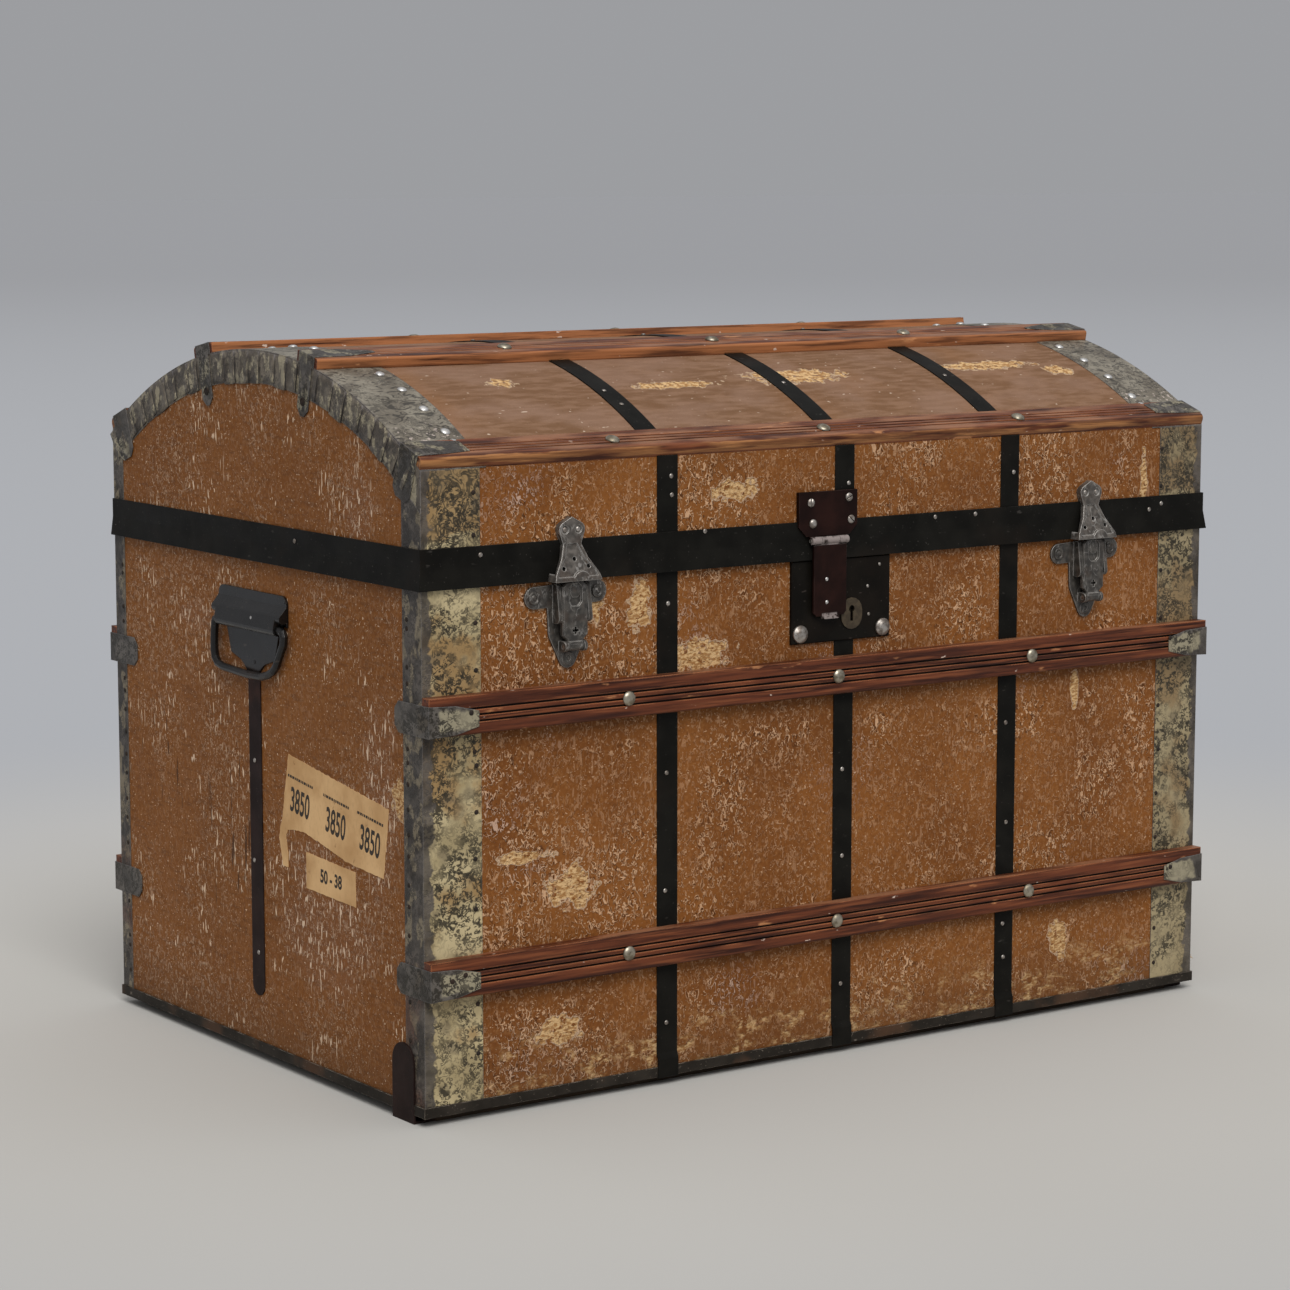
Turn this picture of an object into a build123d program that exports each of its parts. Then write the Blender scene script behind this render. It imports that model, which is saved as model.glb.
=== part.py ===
"""Dome-top travelling trunk: boards under painted canvas, tin edges, iron hoops and wooden slats.

Millimetres. +Z is up, the front looks along -Y and the length runs along X.
The origin is on the floor, under the middle of the trunk.
"""
import os
from math import asin, cos, degrees, radians, sin, sqrt

from build123d import *

os.makedirs("parts", exist_ok=True)

# ---- Driving dimensions: the box -----------------------------------------------------------------
board_length = 817.2          # wooden box along X, outside
board_depth = 512.0           # wooden box along Y, outside
wall_thickness = 12.0         # front, back and end boards
bottom_thickness = 12.0       # bottom board
top_thickness = 5.0           # bent wood of the dome
skid_height = 9.0             # floor to the bottom board
seam_height = 436.0           # floor to the joint between body and lid
lid_side_height = 79.7        # seam to where the dome starts
dome_radius = 449.4           # canvas surface of the dome
canvas_thickness = 0.8
lining_thickness = 0.6
tin_thickness = 0.6
seat_gap = 0.3                # between pieces of different bodies that pass close by
round_sides = 16              # flats of small round shapes: pins, knuckles, cast outlines
nail_sides = 10               # flats of nail heads and of the bails' wire

# ---- Driving dimensions: tin edges, rim, skids and hoops -----------------------------------------
left_tin_width = 54.0         # on the front, at the left corner
right_tin_width = 50.0        # on the front, at the right corner
back_tin_width = 50.0         # on the back
front_end_tin_width = 28.0    # on the ends, at the front corners
back_end_tin_width = 18.0     # on the ends, at the back corners
binding_width = 60.0          # tin along the ends of the dome, on the curved side
binding_flange = 27.0         # its turned-over flange on the flat end
binding_notch_pitch = 5.4     # degrees between the crimp notches of the flange
binding_notch_radius = 1.6
rim_thickness = 1.4
rim_height = 7.0              # upright leg of the bottom rim
rim_tread = 12.0              # flat leg under the bottom
skid_width = 34.0
skid_setback = 14.6           # a skid ends this far inside the boards
skid_corner = 3.0             # its upright edges are cut off by this much
skid_spacing = 227.0          # middle skid to the outer ones
skid_iron_width = 32.0
skid_iron_thickness = 1.8
skid_iron_height = 63.0       # floor to the rounded top
skid_iron_reach = 42.0        # length of the leg let in under the skid
hoop_width = 20.0
hoop_thickness = 1.0
hoop_pitch_share = 0.2215     # of the length, between hoops
hoop_middle = 3.0             # X of the middle hoop
hoop_bend_height = 13.0       # above the bottom board, where a hoop steps out over the rim
hoop_step = 5.0               # height of that step

# ---- Driving dimensions: slats -------------------------------------------------------------------
slat_thickness = 11.0
body_slat_width = 31.0
upper_slat_below = 111.0      # seam to the middle of the slat
lower_slat_height = 117.5     # floor to the middle of the slat
lid_slat_width = 32.0
lid_slat_thickness = 9.0
top_slat_angle = 11.1         # from the crown to the middle of the slat, degrees
edge_slat_tilt = 20.0         # the edge slat lies flatter than the dome, degrees from level
edge_slat_thickness = 9.5     # at its nose; it thins out towards the crown
groove_width = 1.8
groove_depth = 2.4
groove_pitch = 5.0
slat_round = 2.6              # rounding of a slat's outer edges
slat_sink = 0.8               # the lid's slats are hollowed to the dome by up to this much
edge_slat_nose = 4.5          # rounding of the edge slat's overhanging edge
clip_thickness = 0.8
body_clip_reach = 46.0        # along the slat
body_clip_width = 25.0
body_clip_drop = 3.0          # the clip sits below the slat's middle
body_clip_tip = 12.5          # width of the narrow end on the slat
body_clip_tongue = 39.0       # folded back over the end
top_clip_reach = 62.0
top_clip_width = 24.0
top_clip_tip = 4.0
top_clip_tongue = 42.0
top_tongue_width = 17.0
edge_clip_reach = 50.0
edge_clip_width = 26.0
edge_clip_tip = 18.0
edge_clip_rise = 2.5          # the clip leaves the edge slat's nose bare
edge_clip_tongue = 32.0
clip_shoulder = 0.55          # share of the reach that keeps nearly the full width
clip_taper = 0.9              # width left at the shoulder, as a share
clip_corner = 6.0             # cut corners of a broad tongue
slat_nail_radius = 6.0
slat_nail_rise = 3.2
nail_shank = 3.0              # square shank
dome_lower_taper = 32.0       # slopes of a domed head, degrees from upright
dome_upper_taper = 62.0
slat_nail_depth = 4.0
slat_nail_share = 0.2606      # of the length, between nails
slat_nail_middle = -10.0      # X of the middle nail

# ---- Driving dimensions: band around the lid -----------------------------------------------------
band_height = 32.0
band_lap = 13.0               # how far the band hangs below the seam
band_thickness = 1.5
band_flare = 2.2              # the hanging part leans out by this much
band_flare_height = 16.0

# ---- Driving dimensions: lock and hasp -----------------------------------------------------------
lock_x = -1.5
lock_width = 104.0
lock_height = 69.0
lock_thickness = 3.0
lock_case_width = 62.0
lock_case_height = 50.0
lock_case_depth = 9.0
keyhole_x = 9.0
keyhole_below = 56.5          # seam to the keyhole
escutcheon_width = 22.0
escutcheon_height = 26.6
escutcheon_thickness = 1.0
keyhole_radius = 3.0
keyhole_slot = 3.0
keyhole_drop = 10.2
escutcheon_lift = 3.8         # keyhole's round to the escutcheon's middle, downwards
lock_plate_bevel = 0.75
lock_bolt_radius = 7.5
lock_bolt_rise = 4.5
lock_bolt_inset = 8.5
hasp_x = -17.0
hasp_plate_width = 61.0
hasp_plate_height = 37.0
hasp_plate_thickness = 2.0
hasp_plate_corner = 8.0       # cut corners beside the barrel
hasp_hinge_above = 3.0        # seam to the hasp's hinge
hasp_knuckle_radius = 3.2
hasp_pin_radius = 1.6
hasp_barrel_length = 38.0
hasp_width = 34.0
hasp_length = 63.0
hasp_thickness = 2.3
hasp_corner = 3.0
hasp_lip_width = 16.0         # turned-up lip at the bottom, to lift the hasp by
staple_height = 24.0
staple_width = 5.0
staple_eye = 1.7              # width of the slot through the staple
staple_play = 1.0             # round the staple's place in the lock
lock_case_wall = 1.5
pin_head = 1.0                # how far a hinge pin stands out at each end
pin_clearance = 0.06          # round a hinge pin

# ---- Driving dimensions: draw-bolt latches -------------------------------------------------------
latch_from_end = 134.9        # end boards to the middle of a latch
latch_plate_thickness = 2.0
latch_ears = ((-33.5, 25.5), (26.5, 23.5))    # from the lever's middle, and below the seam
latch_ear_radius = 8.8
latch_foot_shift = -2.0       # the plate's foot stands off the lever's middle
latch_hole_radius = 2.2
latch_shoulder_below = 32.0   # seam to the widest part between the ears and the foot
latch_shoulder = 19.0         # half the plate's width there
latch_waist_below = 54.0      # seam to where the plate starts to narrow
latch_waist = 18.0            # half the plate's width there
latch_waist_radius = 9.0
latch_boss_below = 75.0       # seam to the boss at the foot
latch_boss_radius = 8.0
latch_ring_radius = 5.6       # raised ring on the boss
latch_ring_rise = 1.0
guard_below = 42.0            # seam to the rounded ends of the two guards beside the lever
guard_radius = 4.6
guard_depth = 6.6             # of their ends' centres in front of the canvas
guard_top_below = 17.5        # seam to the top of the guards
guard_top_depth = 5.5
guard_top_radius = 2.4
guard_thickness = 3.6
lever_width = 24.0
lever_thickness = 4.0
lever_seat = 1.3              # the lever's back stands this far behind its pivot
lever_edge = 1.0              # bevel round the lever's face
lever_pivot_below = 65.0
lever_pivot_depth = 8.0       # in front of the canvas
lever_barrel_radius = 3.6
lever_barrel_length = 15.0
lever_shoulder_rise = 4.0     # height over which the lever widens above its eyes
lever_pin_radius = 1.8
eye_thickness = 2.6           # the plate's eyes on each side of the barrel
eye_wall = 0.8
window_width = 12.0           # in the lever, where the bolt's nose shows
window_height = 18.0
window_inset = 10.5           # top of the lever to the window's middle
window_depth = 2.0
window_corner = 3.0
nose_width = 9.0
nose_height = 11.0
nose_inset = 7.2
nose_rise = 1.4
nose_corner = 2.2
cross_size = 6.0
cross_arm = 2.0
cross_rise = 12.5             # pivot to the cross-shaped hole
ridge_width = 12.0            # ridge to lift the lever by
ridge_height = 2.0
ridge_rise = 1.0
ridge_above = 3.0             # pivot to the ridge
hood_tip_above = 37.0         # seam to the hood's point
hood_tip_radius = 1.0
hood_head_above = 27.0
hood_head_radius = 6.0
hood_head_spread = 6.2
hood_neck_above = 16.0
hood_neck_width = 16.5
hood_skirt_width = 44.0
hood_bell_width = 25.0        # where the skirt starts to flare
hood_bell_rise = 18.0         # above the skirt's foot
hood_heel = 5.0               # upright edge at the foot of the skirt
hood_heel_inset = 1.2
hood_depth = 15.5
hood_neck_depth = 6.0
hood_wall = 2.0
hood_rim = 3.6                # raised edge round the panel
hood_panel_depth = 1.1        # of the panel inside the raised edge
hood_boss_radius = 8.0
hood_boss_shift = 3.5         # the arched boss stands off the middle
hood_hole_radius = 1.8
hood_hole_sides = 8
hood_holes = ((0.0, 17.0), (-11.5, 10.0), (12.0, 11.0))  # from the middle, and above the skirt's foot
rivet_recess_radius = 3.2
rivet_spread = 6.2            # from the hood's middle to a rivet

# ---- Driving dimensions: end handles -------------------------------------------------------------
handle_y = 7.0                # the handles sit a little behind the middle of the ends
handle_plate_width = 115.0
handle_top_below = 38.0       # seam to the plate's top edge
handle_corner_radius = 8.0
handle_plate_thickness = 2.0
bail_pivot_below = 66.0
bail_wire_radius = 3.4
bail_bar = 53.0               # half the straight bar in the roll
# the wire from the end of the bar to the middle of the grip: (across, down) from the pivot
bail_rear_path = (
    (56.5, 1.4), (58.0, 4.8), (59.3, 14.0), (59.8, 26.5), (58.5, 33.8), (53.5, 38.6), (45.0, 40.6),
)
bail_front_path = (
    (57.5, 1.5), (59.3, 5.0), (58.3, 11.0), (46.5, 29.6), (40.5, 35.0), (32.0, 39.0), (21.0, 41.8),
)
bail_drop = 42.6
bail_clearance = 0.08         # round the wire in the rolled plate
roll_wall = 1.8
bulge_rise = 9.5              # pivot to the crest of the plate's bulge over the roll
bulge_depth = 5.0
bulge_radius = 4.2
bulge_top_rise = 19.0         # pivot to where the plate lies flat again
handle_roll_width = 100.0     # the roll stops short of the plate's sides, where the legs leave it
shield_half_width = 44.0      # plate below the roll
shield_foot_width = 37.0      # half width where its rounded shoulders start
shield_drop = 27.0            # pivot to the shield's rounded shoulders
shield_curve = 22.0           # pull of the shoulders' curve, across and
shield_curve_drop = 5.4       # down, before it turns into the tongue
tongue_drop = 40.0            # pivot to the narrow end of the tongue
end_strap_width = 20.0
end_strap_bottom = 55.0

# ---- Driving dimensions: back hinges -------------------------------------------------------------
hinge_from_end = 146.6        # end boards to the middle of a hinge
hinge_leaf_width = 64.0
hinge_leaf_height = 38.0
hinge_leaf_thickness = 1.6
hinge_knuckle_radius = 3.6
hinge_pin_radius = 1.7
hinge_knuckles = 3

# ---- Sizes that follow ---------------------------------------------------------------------------
canvas_length = board_length + 2 * canvas_thickness
canvas_depth = board_depth + 2 * canvas_thickness
tin_length = canvas_length + 2 * tin_thickness
tin_depth = canvas_depth + 2 * tin_thickness
inner_length = board_length - 2 * wall_thickness
inner_depth = board_depth - 2 * wall_thickness
body_height = seam_height - skid_height
corner_height = seam_height + lid_side_height
dome_centre_height = corner_height - sqrt(dome_radius**2 - (canvas_depth / 2) ** 2)
crown_height = dome_centre_height + dome_radius
dome_board_radius = dome_radius - canvas_thickness
dome_inner_radius = dome_board_radius - top_thickness
skid_length = board_length - 2 * skid_setback
band_bottom = seam_height - band_lap
band_top = band_bottom + band_height
band_flare_start = band_bottom + band_flare_height
band_face = hoop_thickness + band_thickness
lock_top = band_bottom - 2 * seat_gap
lock_middle = lock_top - lock_height / 2
hoop_pitch = hoop_pitch_share * board_length
slat_nail_spacing = slat_nail_share * board_length
upper_slat_height = seam_height - upper_slat_below
keyhole_height = seam_height - keyhole_below
hasp_hinge_height = seam_height + hasp_hinge_above
latch_x = board_length / 2 - latch_from_end
latch_shoulder_height = seam_height - latch_shoulder_below
latch_waist_height = seam_height - latch_waist_below
guard_height = seam_height - guard_below
guard_top_height = seam_height - guard_top_below
latch_boss_height = seam_height - latch_boss_below
lever_pivot_height = seam_height - lever_pivot_below
hood_tip_height = seam_height + hood_tip_above
hood_head_height = seam_height + hood_head_above
hood_neck_height = seam_height + hood_neck_above
handle_plate_top = seam_height - handle_top_below
bail_pivot_height = seam_height - bail_pivot_below
handle_tongue_end = bail_pivot_height - tongue_drop
hinge_x = board_length / 2 - hinge_from_end
hoop_places = [hoop_middle + step * hoop_pitch for step in (-1, 0, 1)]
nail_places = [slat_nail_middle + step * slat_nail_spacing for step in (-1, 0, 1)]

# Each working plane stands on the canvas: X along the face, Y up, Z out of the trunk.
FRONT = Plane(origin=(0, -canvas_depth / 2, 0), x_dir=(1, 0, 0), z_dir=(0, -1, 0))
BACK = Plane(origin=(0, canvas_depth / 2, 0), x_dir=(-1, 0, 0), z_dir=(0, 1, 0))
LEFT = Plane(origin=(-canvas_length / 2, 0, 0), x_dir=(0, -1, 0), z_dir=(-1, 0, 0))
RIGHT = Plane(origin=(canvas_length / 2, 0, 0), x_dir=(0, 1, 0), z_dir=(1, 0, 0))


def raised(plane, height):
    """The same plane with its origin lifted along the trunk's Z."""
    return Plane(origin=plane.origin + Vector(0, 0, height), x_dir=plane.x_dir, z_dir=plane.z_dir)


def dome_plane(angle, shift=0.0):
    """Plane on the dome, its Y towards the crown; a negative angle is on the front."""
    turn = radians(angle)
    normal = Vector(0, sin(turn), cos(turn))
    along = Vector(1, 0, 0) if angle < 0 else Vector(-1, 0, 0)
    foot = Vector(0, 0, dome_centre_height) + normal * dome_radius
    downhill = along.cross(normal)
    return Plane(origin=foot + downhill * shift, x_dir=along, z_dir=normal)


def side_plane(plane, across):
    """Plane across a face's own: X out of the trunk, Y up, at a distance along the face."""
    start = plane.from_local_coords(Vector(across, 0, 0))
    return Plane(origin=start, x_dir=plane.z_dir, z_dir=-plane.x_dir)


def save(piece, name):
    """Label one sub-part and write its STEP file."""
    piece.part.label = name
    export_step(piece.part, f"parts/{name}.step")


def keyhole_cutter(start, end):
    """Solid of the keyhole between two distances in front of the canvas."""
    with BuildPart() as cutter:
        with BuildSketch(FRONT.offset(end)):
            with Locations((keyhole_x, keyhole_height)):
                Circle(keyhole_radius)
                Rectangle(keyhole_slot, keyhole_drop, align=(Align.CENTER, Align.MAX))
        extrude(amount=start - end)
    return cutter.part


def dome_nail(radius, rise, shank_length):
    """Nail or bolt with a domed head and a square shank, standing on its plane's origin along Z."""
    with BuildPart() as nail:
        with BuildSketch():
            RegularPolygon(radius, nail_sides)
        extrude(amount=rise / 2, taper=dome_lower_taper)
        extrude(nail.faces().sort_by(Axis.Z)[-1], amount=rise / 2, taper=dome_upper_taper)
        with BuildSketch():
            Rectangle(nail_shank, nail_shank)
        extrude(amount=-shank_length)
    return nail.part


def hulled(plane, *discs):
    """Face on a plane, drawn tight round discs given as (x, y, radius)."""
    with BuildSketch(plane) as outline:
        for x, y, radius in discs:
            with Locations((x, y)):
                RegularPolygon(radius, round_sides)
        make_hull()
    return outline.sketch


def rod(plane, radius, start, length):
    """Pin or knuckle along a plane's Z, its flats inside its radius."""
    with BuildPart() as bar:
        with BuildSketch(plane.offset(start)):
            RegularPolygon(radius, round_sides)
        extrude(amount=length)
    return bar.part


def bore(plane, radius, start, length):
    """Cutter for the hole round a pin, its flats outside its radius."""
    with BuildPart() as cutter:
        with BuildSketch(plane.offset(start)):
            RegularPolygon(radius, round_sides, major_radius=False)
        extrude(amount=length)
    return cutter.part


# ---- The wooden body -----------------------------------------------------------------------------
with BuildPart() as front_board:
    with BuildSketch(Plane.XY.offset(skid_height)):
        with Locations((0, -board_depth / 2)):
            Rectangle(board_length, wall_thickness, align=(Align.CENTER, Align.MIN))
    extrude(amount=body_height)
    # mortise for the lock case
    with BuildSketch(FRONT.offset(-canvas_thickness)):
        with Locations((lock_x, lock_middle)):
            Rectangle(lock_case_width, lock_case_height)
    extrude(amount=-lock_case_depth + canvas_thickness, mode=Mode.SUBTRACT)
save(front_board, "front_board")

with BuildPart() as back_board:
    with BuildSketch(Plane.XY.offset(skid_height)):
        with Locations((0, board_depth / 2)):
            Rectangle(board_length, wall_thickness, align=(Align.CENTER, Align.MAX))
    extrude(amount=body_height)
save(back_board, "back_board")


def end_board(side):
    """Body end board between the front and back boards."""
    with BuildPart() as board:
        with BuildSketch(Plane.XY.offset(skid_height)):
            with Locations((side * (board_length - wall_thickness) / 2, 0)):
                Rectangle(wall_thickness, inner_depth)
        extrude(amount=body_height)
    return board


save(end_board(-1), "left_end_board")
save(end_board(1), "right_end_board")

with BuildPart() as bottom_board:
    with BuildSketch(Plane.XY.offset(skid_height)):
        Rectangle(inner_length, inner_depth)
    extrude(amount=bottom_thickness)
save(bottom_board, "bottom_board")

with BuildPart() as body_canvas:
    with BuildSketch(Plane.XY.offset(skid_height)):
        Rectangle(canvas_length, canvas_depth)
        Rectangle(board_length, board_depth, mode=Mode.SUBTRACT)
    extrude(amount=body_height)
    with BuildSketch(FRONT):
        with Locations((lock_x, lock_middle)):
            Rectangle(lock_case_width, lock_case_height)
    extrude(amount=-canvas_thickness, mode=Mode.SUBTRACT)
save(body_canvas, "body_canvas")

with BuildPart() as body_lining:
    with BuildSketch(Plane.XY.offset(skid_height + bottom_thickness)):
        Rectangle(inner_length, inner_depth)
    extrude(amount=body_height - bottom_thickness)
    with BuildSketch(Plane.XY.offset(skid_height + bottom_thickness + lining_thickness)):
        Rectangle(inner_length - 2 * lining_thickness, inner_depth - 2 * lining_thickness)
    extrude(amount=body_height, mode=Mode.SUBTRACT)
save(body_lining, "body_lining")


# ---- The wooden lid ------------------------------------------------------------------------------
def lid_block(depth, radius, length):
    """Arched block standing on the seam: the lid's cross-section at one size."""
    with BuildPart() as block:
        with BuildSketch(Plane.YZ.offset(-length / 2)):
            with Locations((0, seam_height)):
                Rectangle(depth, crown_height, align=(Align.CENTER, Align.MIN))
            with Locations((0, dome_centre_height)):
                Circle(radius, mode=Mode.INTERSECT)
        extrude(amount=length)
    return block.part


canvas_block = lid_block(canvas_depth, dome_radius, canvas_length)
board_block = lid_block(board_depth, dome_board_radius, board_length)
under_top = lid_block(board_depth, dome_inner_radius, board_length)
hollow = lid_block(inner_depth, dome_inner_radius, inner_length)
lined_hollow = lid_block(
    inner_depth - 2 * lining_thickness,
    dome_inner_radius - lining_thickness,
    inner_length - 2 * lining_thickness,
)


def lid_rail(side):
    """Front or back rail of the lid, its top cut to the underside of the dome."""
    with BuildPart() as rail:
        with BuildSketch(Plane.XY.offset(seam_height)):
            with Locations((0, side * (board_depth - wall_thickness) / 2)):
                Rectangle(board_length, wall_thickness)
        extrude(amount=crown_height)
        add(under_top, mode=Mode.INTERSECT)
    return rail


def lid_end(side):
    """Arched end board of the lid, between the rails."""
    with BuildPart() as end:
        with BuildSketch(Plane.XY.offset(seam_height)):
            with Locations((side * (board_length - wall_thickness) / 2, 0)):
                Rectangle(wall_thickness, inner_depth)
        extrude(amount=crown_height)
        add(under_top, mode=Mode.INTERSECT)
    return end


save(lid_rail(-1), "lid_front_rail")
save(lid_rail(1), "lid_back_rail")
save(lid_end(-1), "lid_left_end")
save(lid_end(1), "lid_right_end")

with BuildPart() as lid_top:
    add(board_block)
    add(under_top, mode=Mode.SUBTRACT)
save(lid_top, "lid_top")

with BuildPart() as lid_canvas:
    add(canvas_block)
    add(board_block, mode=Mode.SUBTRACT)
save(lid_canvas, "lid_canvas")

with BuildPart() as lid_lining:
    add(hollow)
    add(lined_hollow, mode=Mode.SUBTRACT)
save(lid_lining, "lid_lining")


# ---- Tin edges -----------------------------------------------------------------------------------
def corner_tin(side_x, side_y, face_width, end_width, base, height):
    """Tin angle bent round one upright corner."""
    align_x = Align.MAX if side_x > 0 else Align.MIN
    align_y = Align.MAX if side_y > 0 else Align.MIN
    with BuildPart() as tin:
        with BuildSketch(Plane.XY.offset(base)):
            with Locations((side_x * tin_length / 2, side_y * tin_depth / 2)):
                Rectangle(face_width, end_width, align=(align_x, align_y))
            Rectangle(canvas_length, canvas_depth, mode=Mode.SUBTRACT)
        extrude(amount=height)
    return tin


corner_widths = {
    "front_left": (-1, -1, left_tin_width, front_end_tin_width),
    "front_right": (1, -1, right_tin_width, front_end_tin_width),
    "back_left": (-1, 1, back_tin_width, back_end_tin_width),
    "back_right": (1, 1, back_tin_width, back_end_tin_width),
}
body_tins = {}
for corner, widths in corner_widths.items():
    body_tins[corner] = corner_tin(*widths, skid_height, body_height)
save(body_tins["front_left"], "front_left_tin")
save(body_tins["front_right"], "front_right_tin")

with BuildPart() as back_corner_tins:
    add(body_tins["back_left"].part)
    add(body_tins["back_right"].part)
save(back_corner_tins, "back_corner_tins")


def dome_binding(side):
    """Tin bent over one end of the dome, its flange notched so that it can follow the curve."""
    binding_radius = dome_radius + tin_thickness
    flange_radius = binding_radius - binding_flange
    start = side * (tin_length / 2 - binding_width)
    half_angle = degrees(asin(tin_depth / 2 / binding_radius))
    notch_count = int(2 * half_angle / binding_notch_pitch)
    with BuildPart() as binding:
        with BuildSketch(Plane.YZ.offset(start)):
            with Locations((0, seam_height)):
                Rectangle(tin_depth, crown_height, align=(Align.CENTER, Align.MIN))
            with Locations((0, dome_centre_height)):
                Circle(binding_radius, mode=Mode.INTERSECT)
                Circle(dome_radius, mode=Mode.SUBTRACT)
        extrude(amount=side * binding_width)
        with BuildSketch(Plane.YZ.offset(side * canvas_length / 2)):
            with Locations((0, seam_height)):
                Rectangle(tin_depth, crown_height, align=(Align.CENTER, Align.MIN))
            with Locations((0, dome_centre_height)):
                Circle(binding_radius, mode=Mode.INTERSECT)
                Circle(flange_radius, mode=Mode.SUBTRACT)
                with PolarLocations(
                    flange_radius,
                    notch_count,
                    start_angle=90 - half_angle + binding_notch_pitch / 2,
                    angular_range=(notch_count - 1) * binding_notch_pitch,
                    endpoint=True,
                ):
                    RegularPolygon(binding_notch_radius, 3, rotation=180, mode=Mode.SUBTRACT)
        extrude(amount=side * tin_thickness)
    return binding


left_dome_binding = dome_binding(-1)
save(left_dome_binding, "left_dome_binding")
right_dome_binding = dome_binding(1)
save(right_dome_binding, "right_dome_binding")

lid_tin_height = corner_height - seam_height
with BuildPart() as lid_corner_tins:
    for widths in corner_widths.values():
        add(corner_tin(*widths, seam_height, lid_tin_height).part)
    add(left_dome_binding.part, mode=Mode.SUBTRACT)
    add(right_dome_binding.part, mode=Mode.SUBTRACT)
save(lid_corner_tins, "lid_corner_tins")

# ---- Skids, their end irons and the bottom rim ---------------------------------------------------
iron_face = tin_length / 2 + skid_iron_thickness


def skid_iron(side):
    """Iron strap down one end of the trunk and let in under the end of the front skid."""
    with BuildPart() as iron:
        with BuildSketch(Plane(origin=(side * tin_length / 2, -skid_spacing, 0), x_dir=(0, side, 0),
                               z_dir=(side, 0, 0))):
            with Locations((0, seat_gap)):
                Rectangle(skid_iron_width, skid_iron_height - seat_gap - skid_iron_width / 2,
                          align=(Align.CENTER, Align.MIN))
            with Locations((0, skid_iron_height - skid_iron_width / 2)):
                Circle(skid_iron_width / 2)
        extrude(amount=skid_iron_thickness)
        with BuildSketch(Plane.XY.offset(seat_gap)):
            with Locations((side * iron_face, -skid_spacing)):
                Rectangle(skid_iron_reach, skid_iron_width,
                          align=(Align.MIN if side < 0 else Align.MAX, Align.CENTER))
        extrude(amount=skid_iron_thickness)
    return iron


with BuildPart() as skid_end_irons:
    add(skid_iron(-1).part)
    add(skid_iron(1).part)
save(skid_end_irons, "skid_end_irons")

with BuildPart() as bottom_skids:
    with BuildSketch():
        with GridLocations(0, skid_spacing, 1, 3):
            Rectangle(skid_length, skid_width)
    extrude(amount=skid_height)
    chamfer(bottom_skids.edges().filter_by(Axis.Z), skid_corner)
    # the front skid is cut away for the irons under its ends
    with BuildSketch():
        for side in (-1, 1):
            with Locations((side * iron_face, -skid_spacing)):
                Rectangle(skid_iron_reach, skid_iron_width,
                          align=(Align.MIN if side < 0 else Align.MAX, Align.CENTER))
    extrude(amount=seat_gap + skid_iron_thickness, mode=Mode.SUBTRACT)
save(bottom_skids, "bottom_skids")

with BuildPart() as bottom_rim:
    with BuildSketch(Plane.XY.offset(skid_height - rim_thickness)):
        Rectangle(tin_length + 2 * rim_thickness, tin_depth + 2 * rim_thickness)
    extrude(amount=rim_height + rim_thickness)
    with BuildSketch(Plane.XY.offset(skid_height)):
        Rectangle(tin_length, tin_depth)
    extrude(amount=rim_height, mode=Mode.SUBTRACT)
    with BuildSketch(Plane.XY.offset(skid_height - rim_thickness)):
        Rectangle(tin_length - 2 * rim_tread, tin_depth - 2 * rim_tread)
    extrude(amount=rim_thickness, mode=Mode.SUBTRACT)
    add(skid_end_irons.part, mode=Mode.SUBTRACT)
save(bottom_rim, "bottom_rim")


# ---- Iron hoops ----------------------------------------------------------------------------------
def body_hoop(plane, across):
    """Strap down one face, stepped out over the bottom rim and turned in under the bottom."""
    rim_face = tin_thickness + rim_thickness
    bend = skid_height + hoop_bend_height
    with BuildPart() as hoop:
        with BuildSketch(side_plane(plane, across - hoop_width / 2)):
            with BuildLine():
                Polyline(
                    (0, seam_height - seat_gap),
                    (0, bend + hoop_step),
                    (rim_face, bend),
                    (rim_face, skid_height - rim_thickness),
                    (tin_thickness - rim_tread, skid_height - rim_thickness),
                )
                offset(amount=hoop_thickness, side=Side.LEFT, closed=True)
            make_face()
        extrude(amount=-hoop_width)
    return hoop


with BuildPart() as body_hoops:
    for place in hoop_places:
        add(body_hoop(FRONT, place).part)
        add(body_hoop(BACK, -place).part)
    add(keyhole_cutter(-hoop_thickness, 2 * hoop_thickness), mode=Mode.SUBTRACT)
save(body_hoops, "body_hoops")

with BuildPart() as lid_hoops:
    with Locations(*[(place, 0, 0) for place in hoop_places]):
        add(lid_block(canvas_depth + 2 * hoop_thickness, dome_radius + hoop_thickness, hoop_width))
    add(canvas_block, mode=Mode.SUBTRACT)
save(lid_hoops, "lid_hoops")


# ---- Wooden slats and their nails ----------------------------------------------------------------
def eave_plane(side):
    """Plane under an edge slat: it starts at the dome's corner and slopes up towards the crown."""
    turn = radians(edge_slat_tilt)
    normal = Vector(0, side * sin(turn), cos(turn))
    along = Vector(-side, 0, 0)
    corner = Vector(0, side * canvas_depth / 2, corner_height)
    return Plane(origin=corner + normal.cross(along) * (lid_slat_width / 2), x_dir=along, z_dir=normal)


def slat_nails(plane, thickness):
    """Three dome nails along a slat, their heads on its face."""
    with BuildPart() as nails:
        with Locations(plane.offset(thickness)):
            with Locations(*[(place, 0, 0) for place in nail_places]):
                add(dome_nail(slat_nail_radius, slat_nail_rise, slat_nail_depth))
    return nails.part


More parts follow.
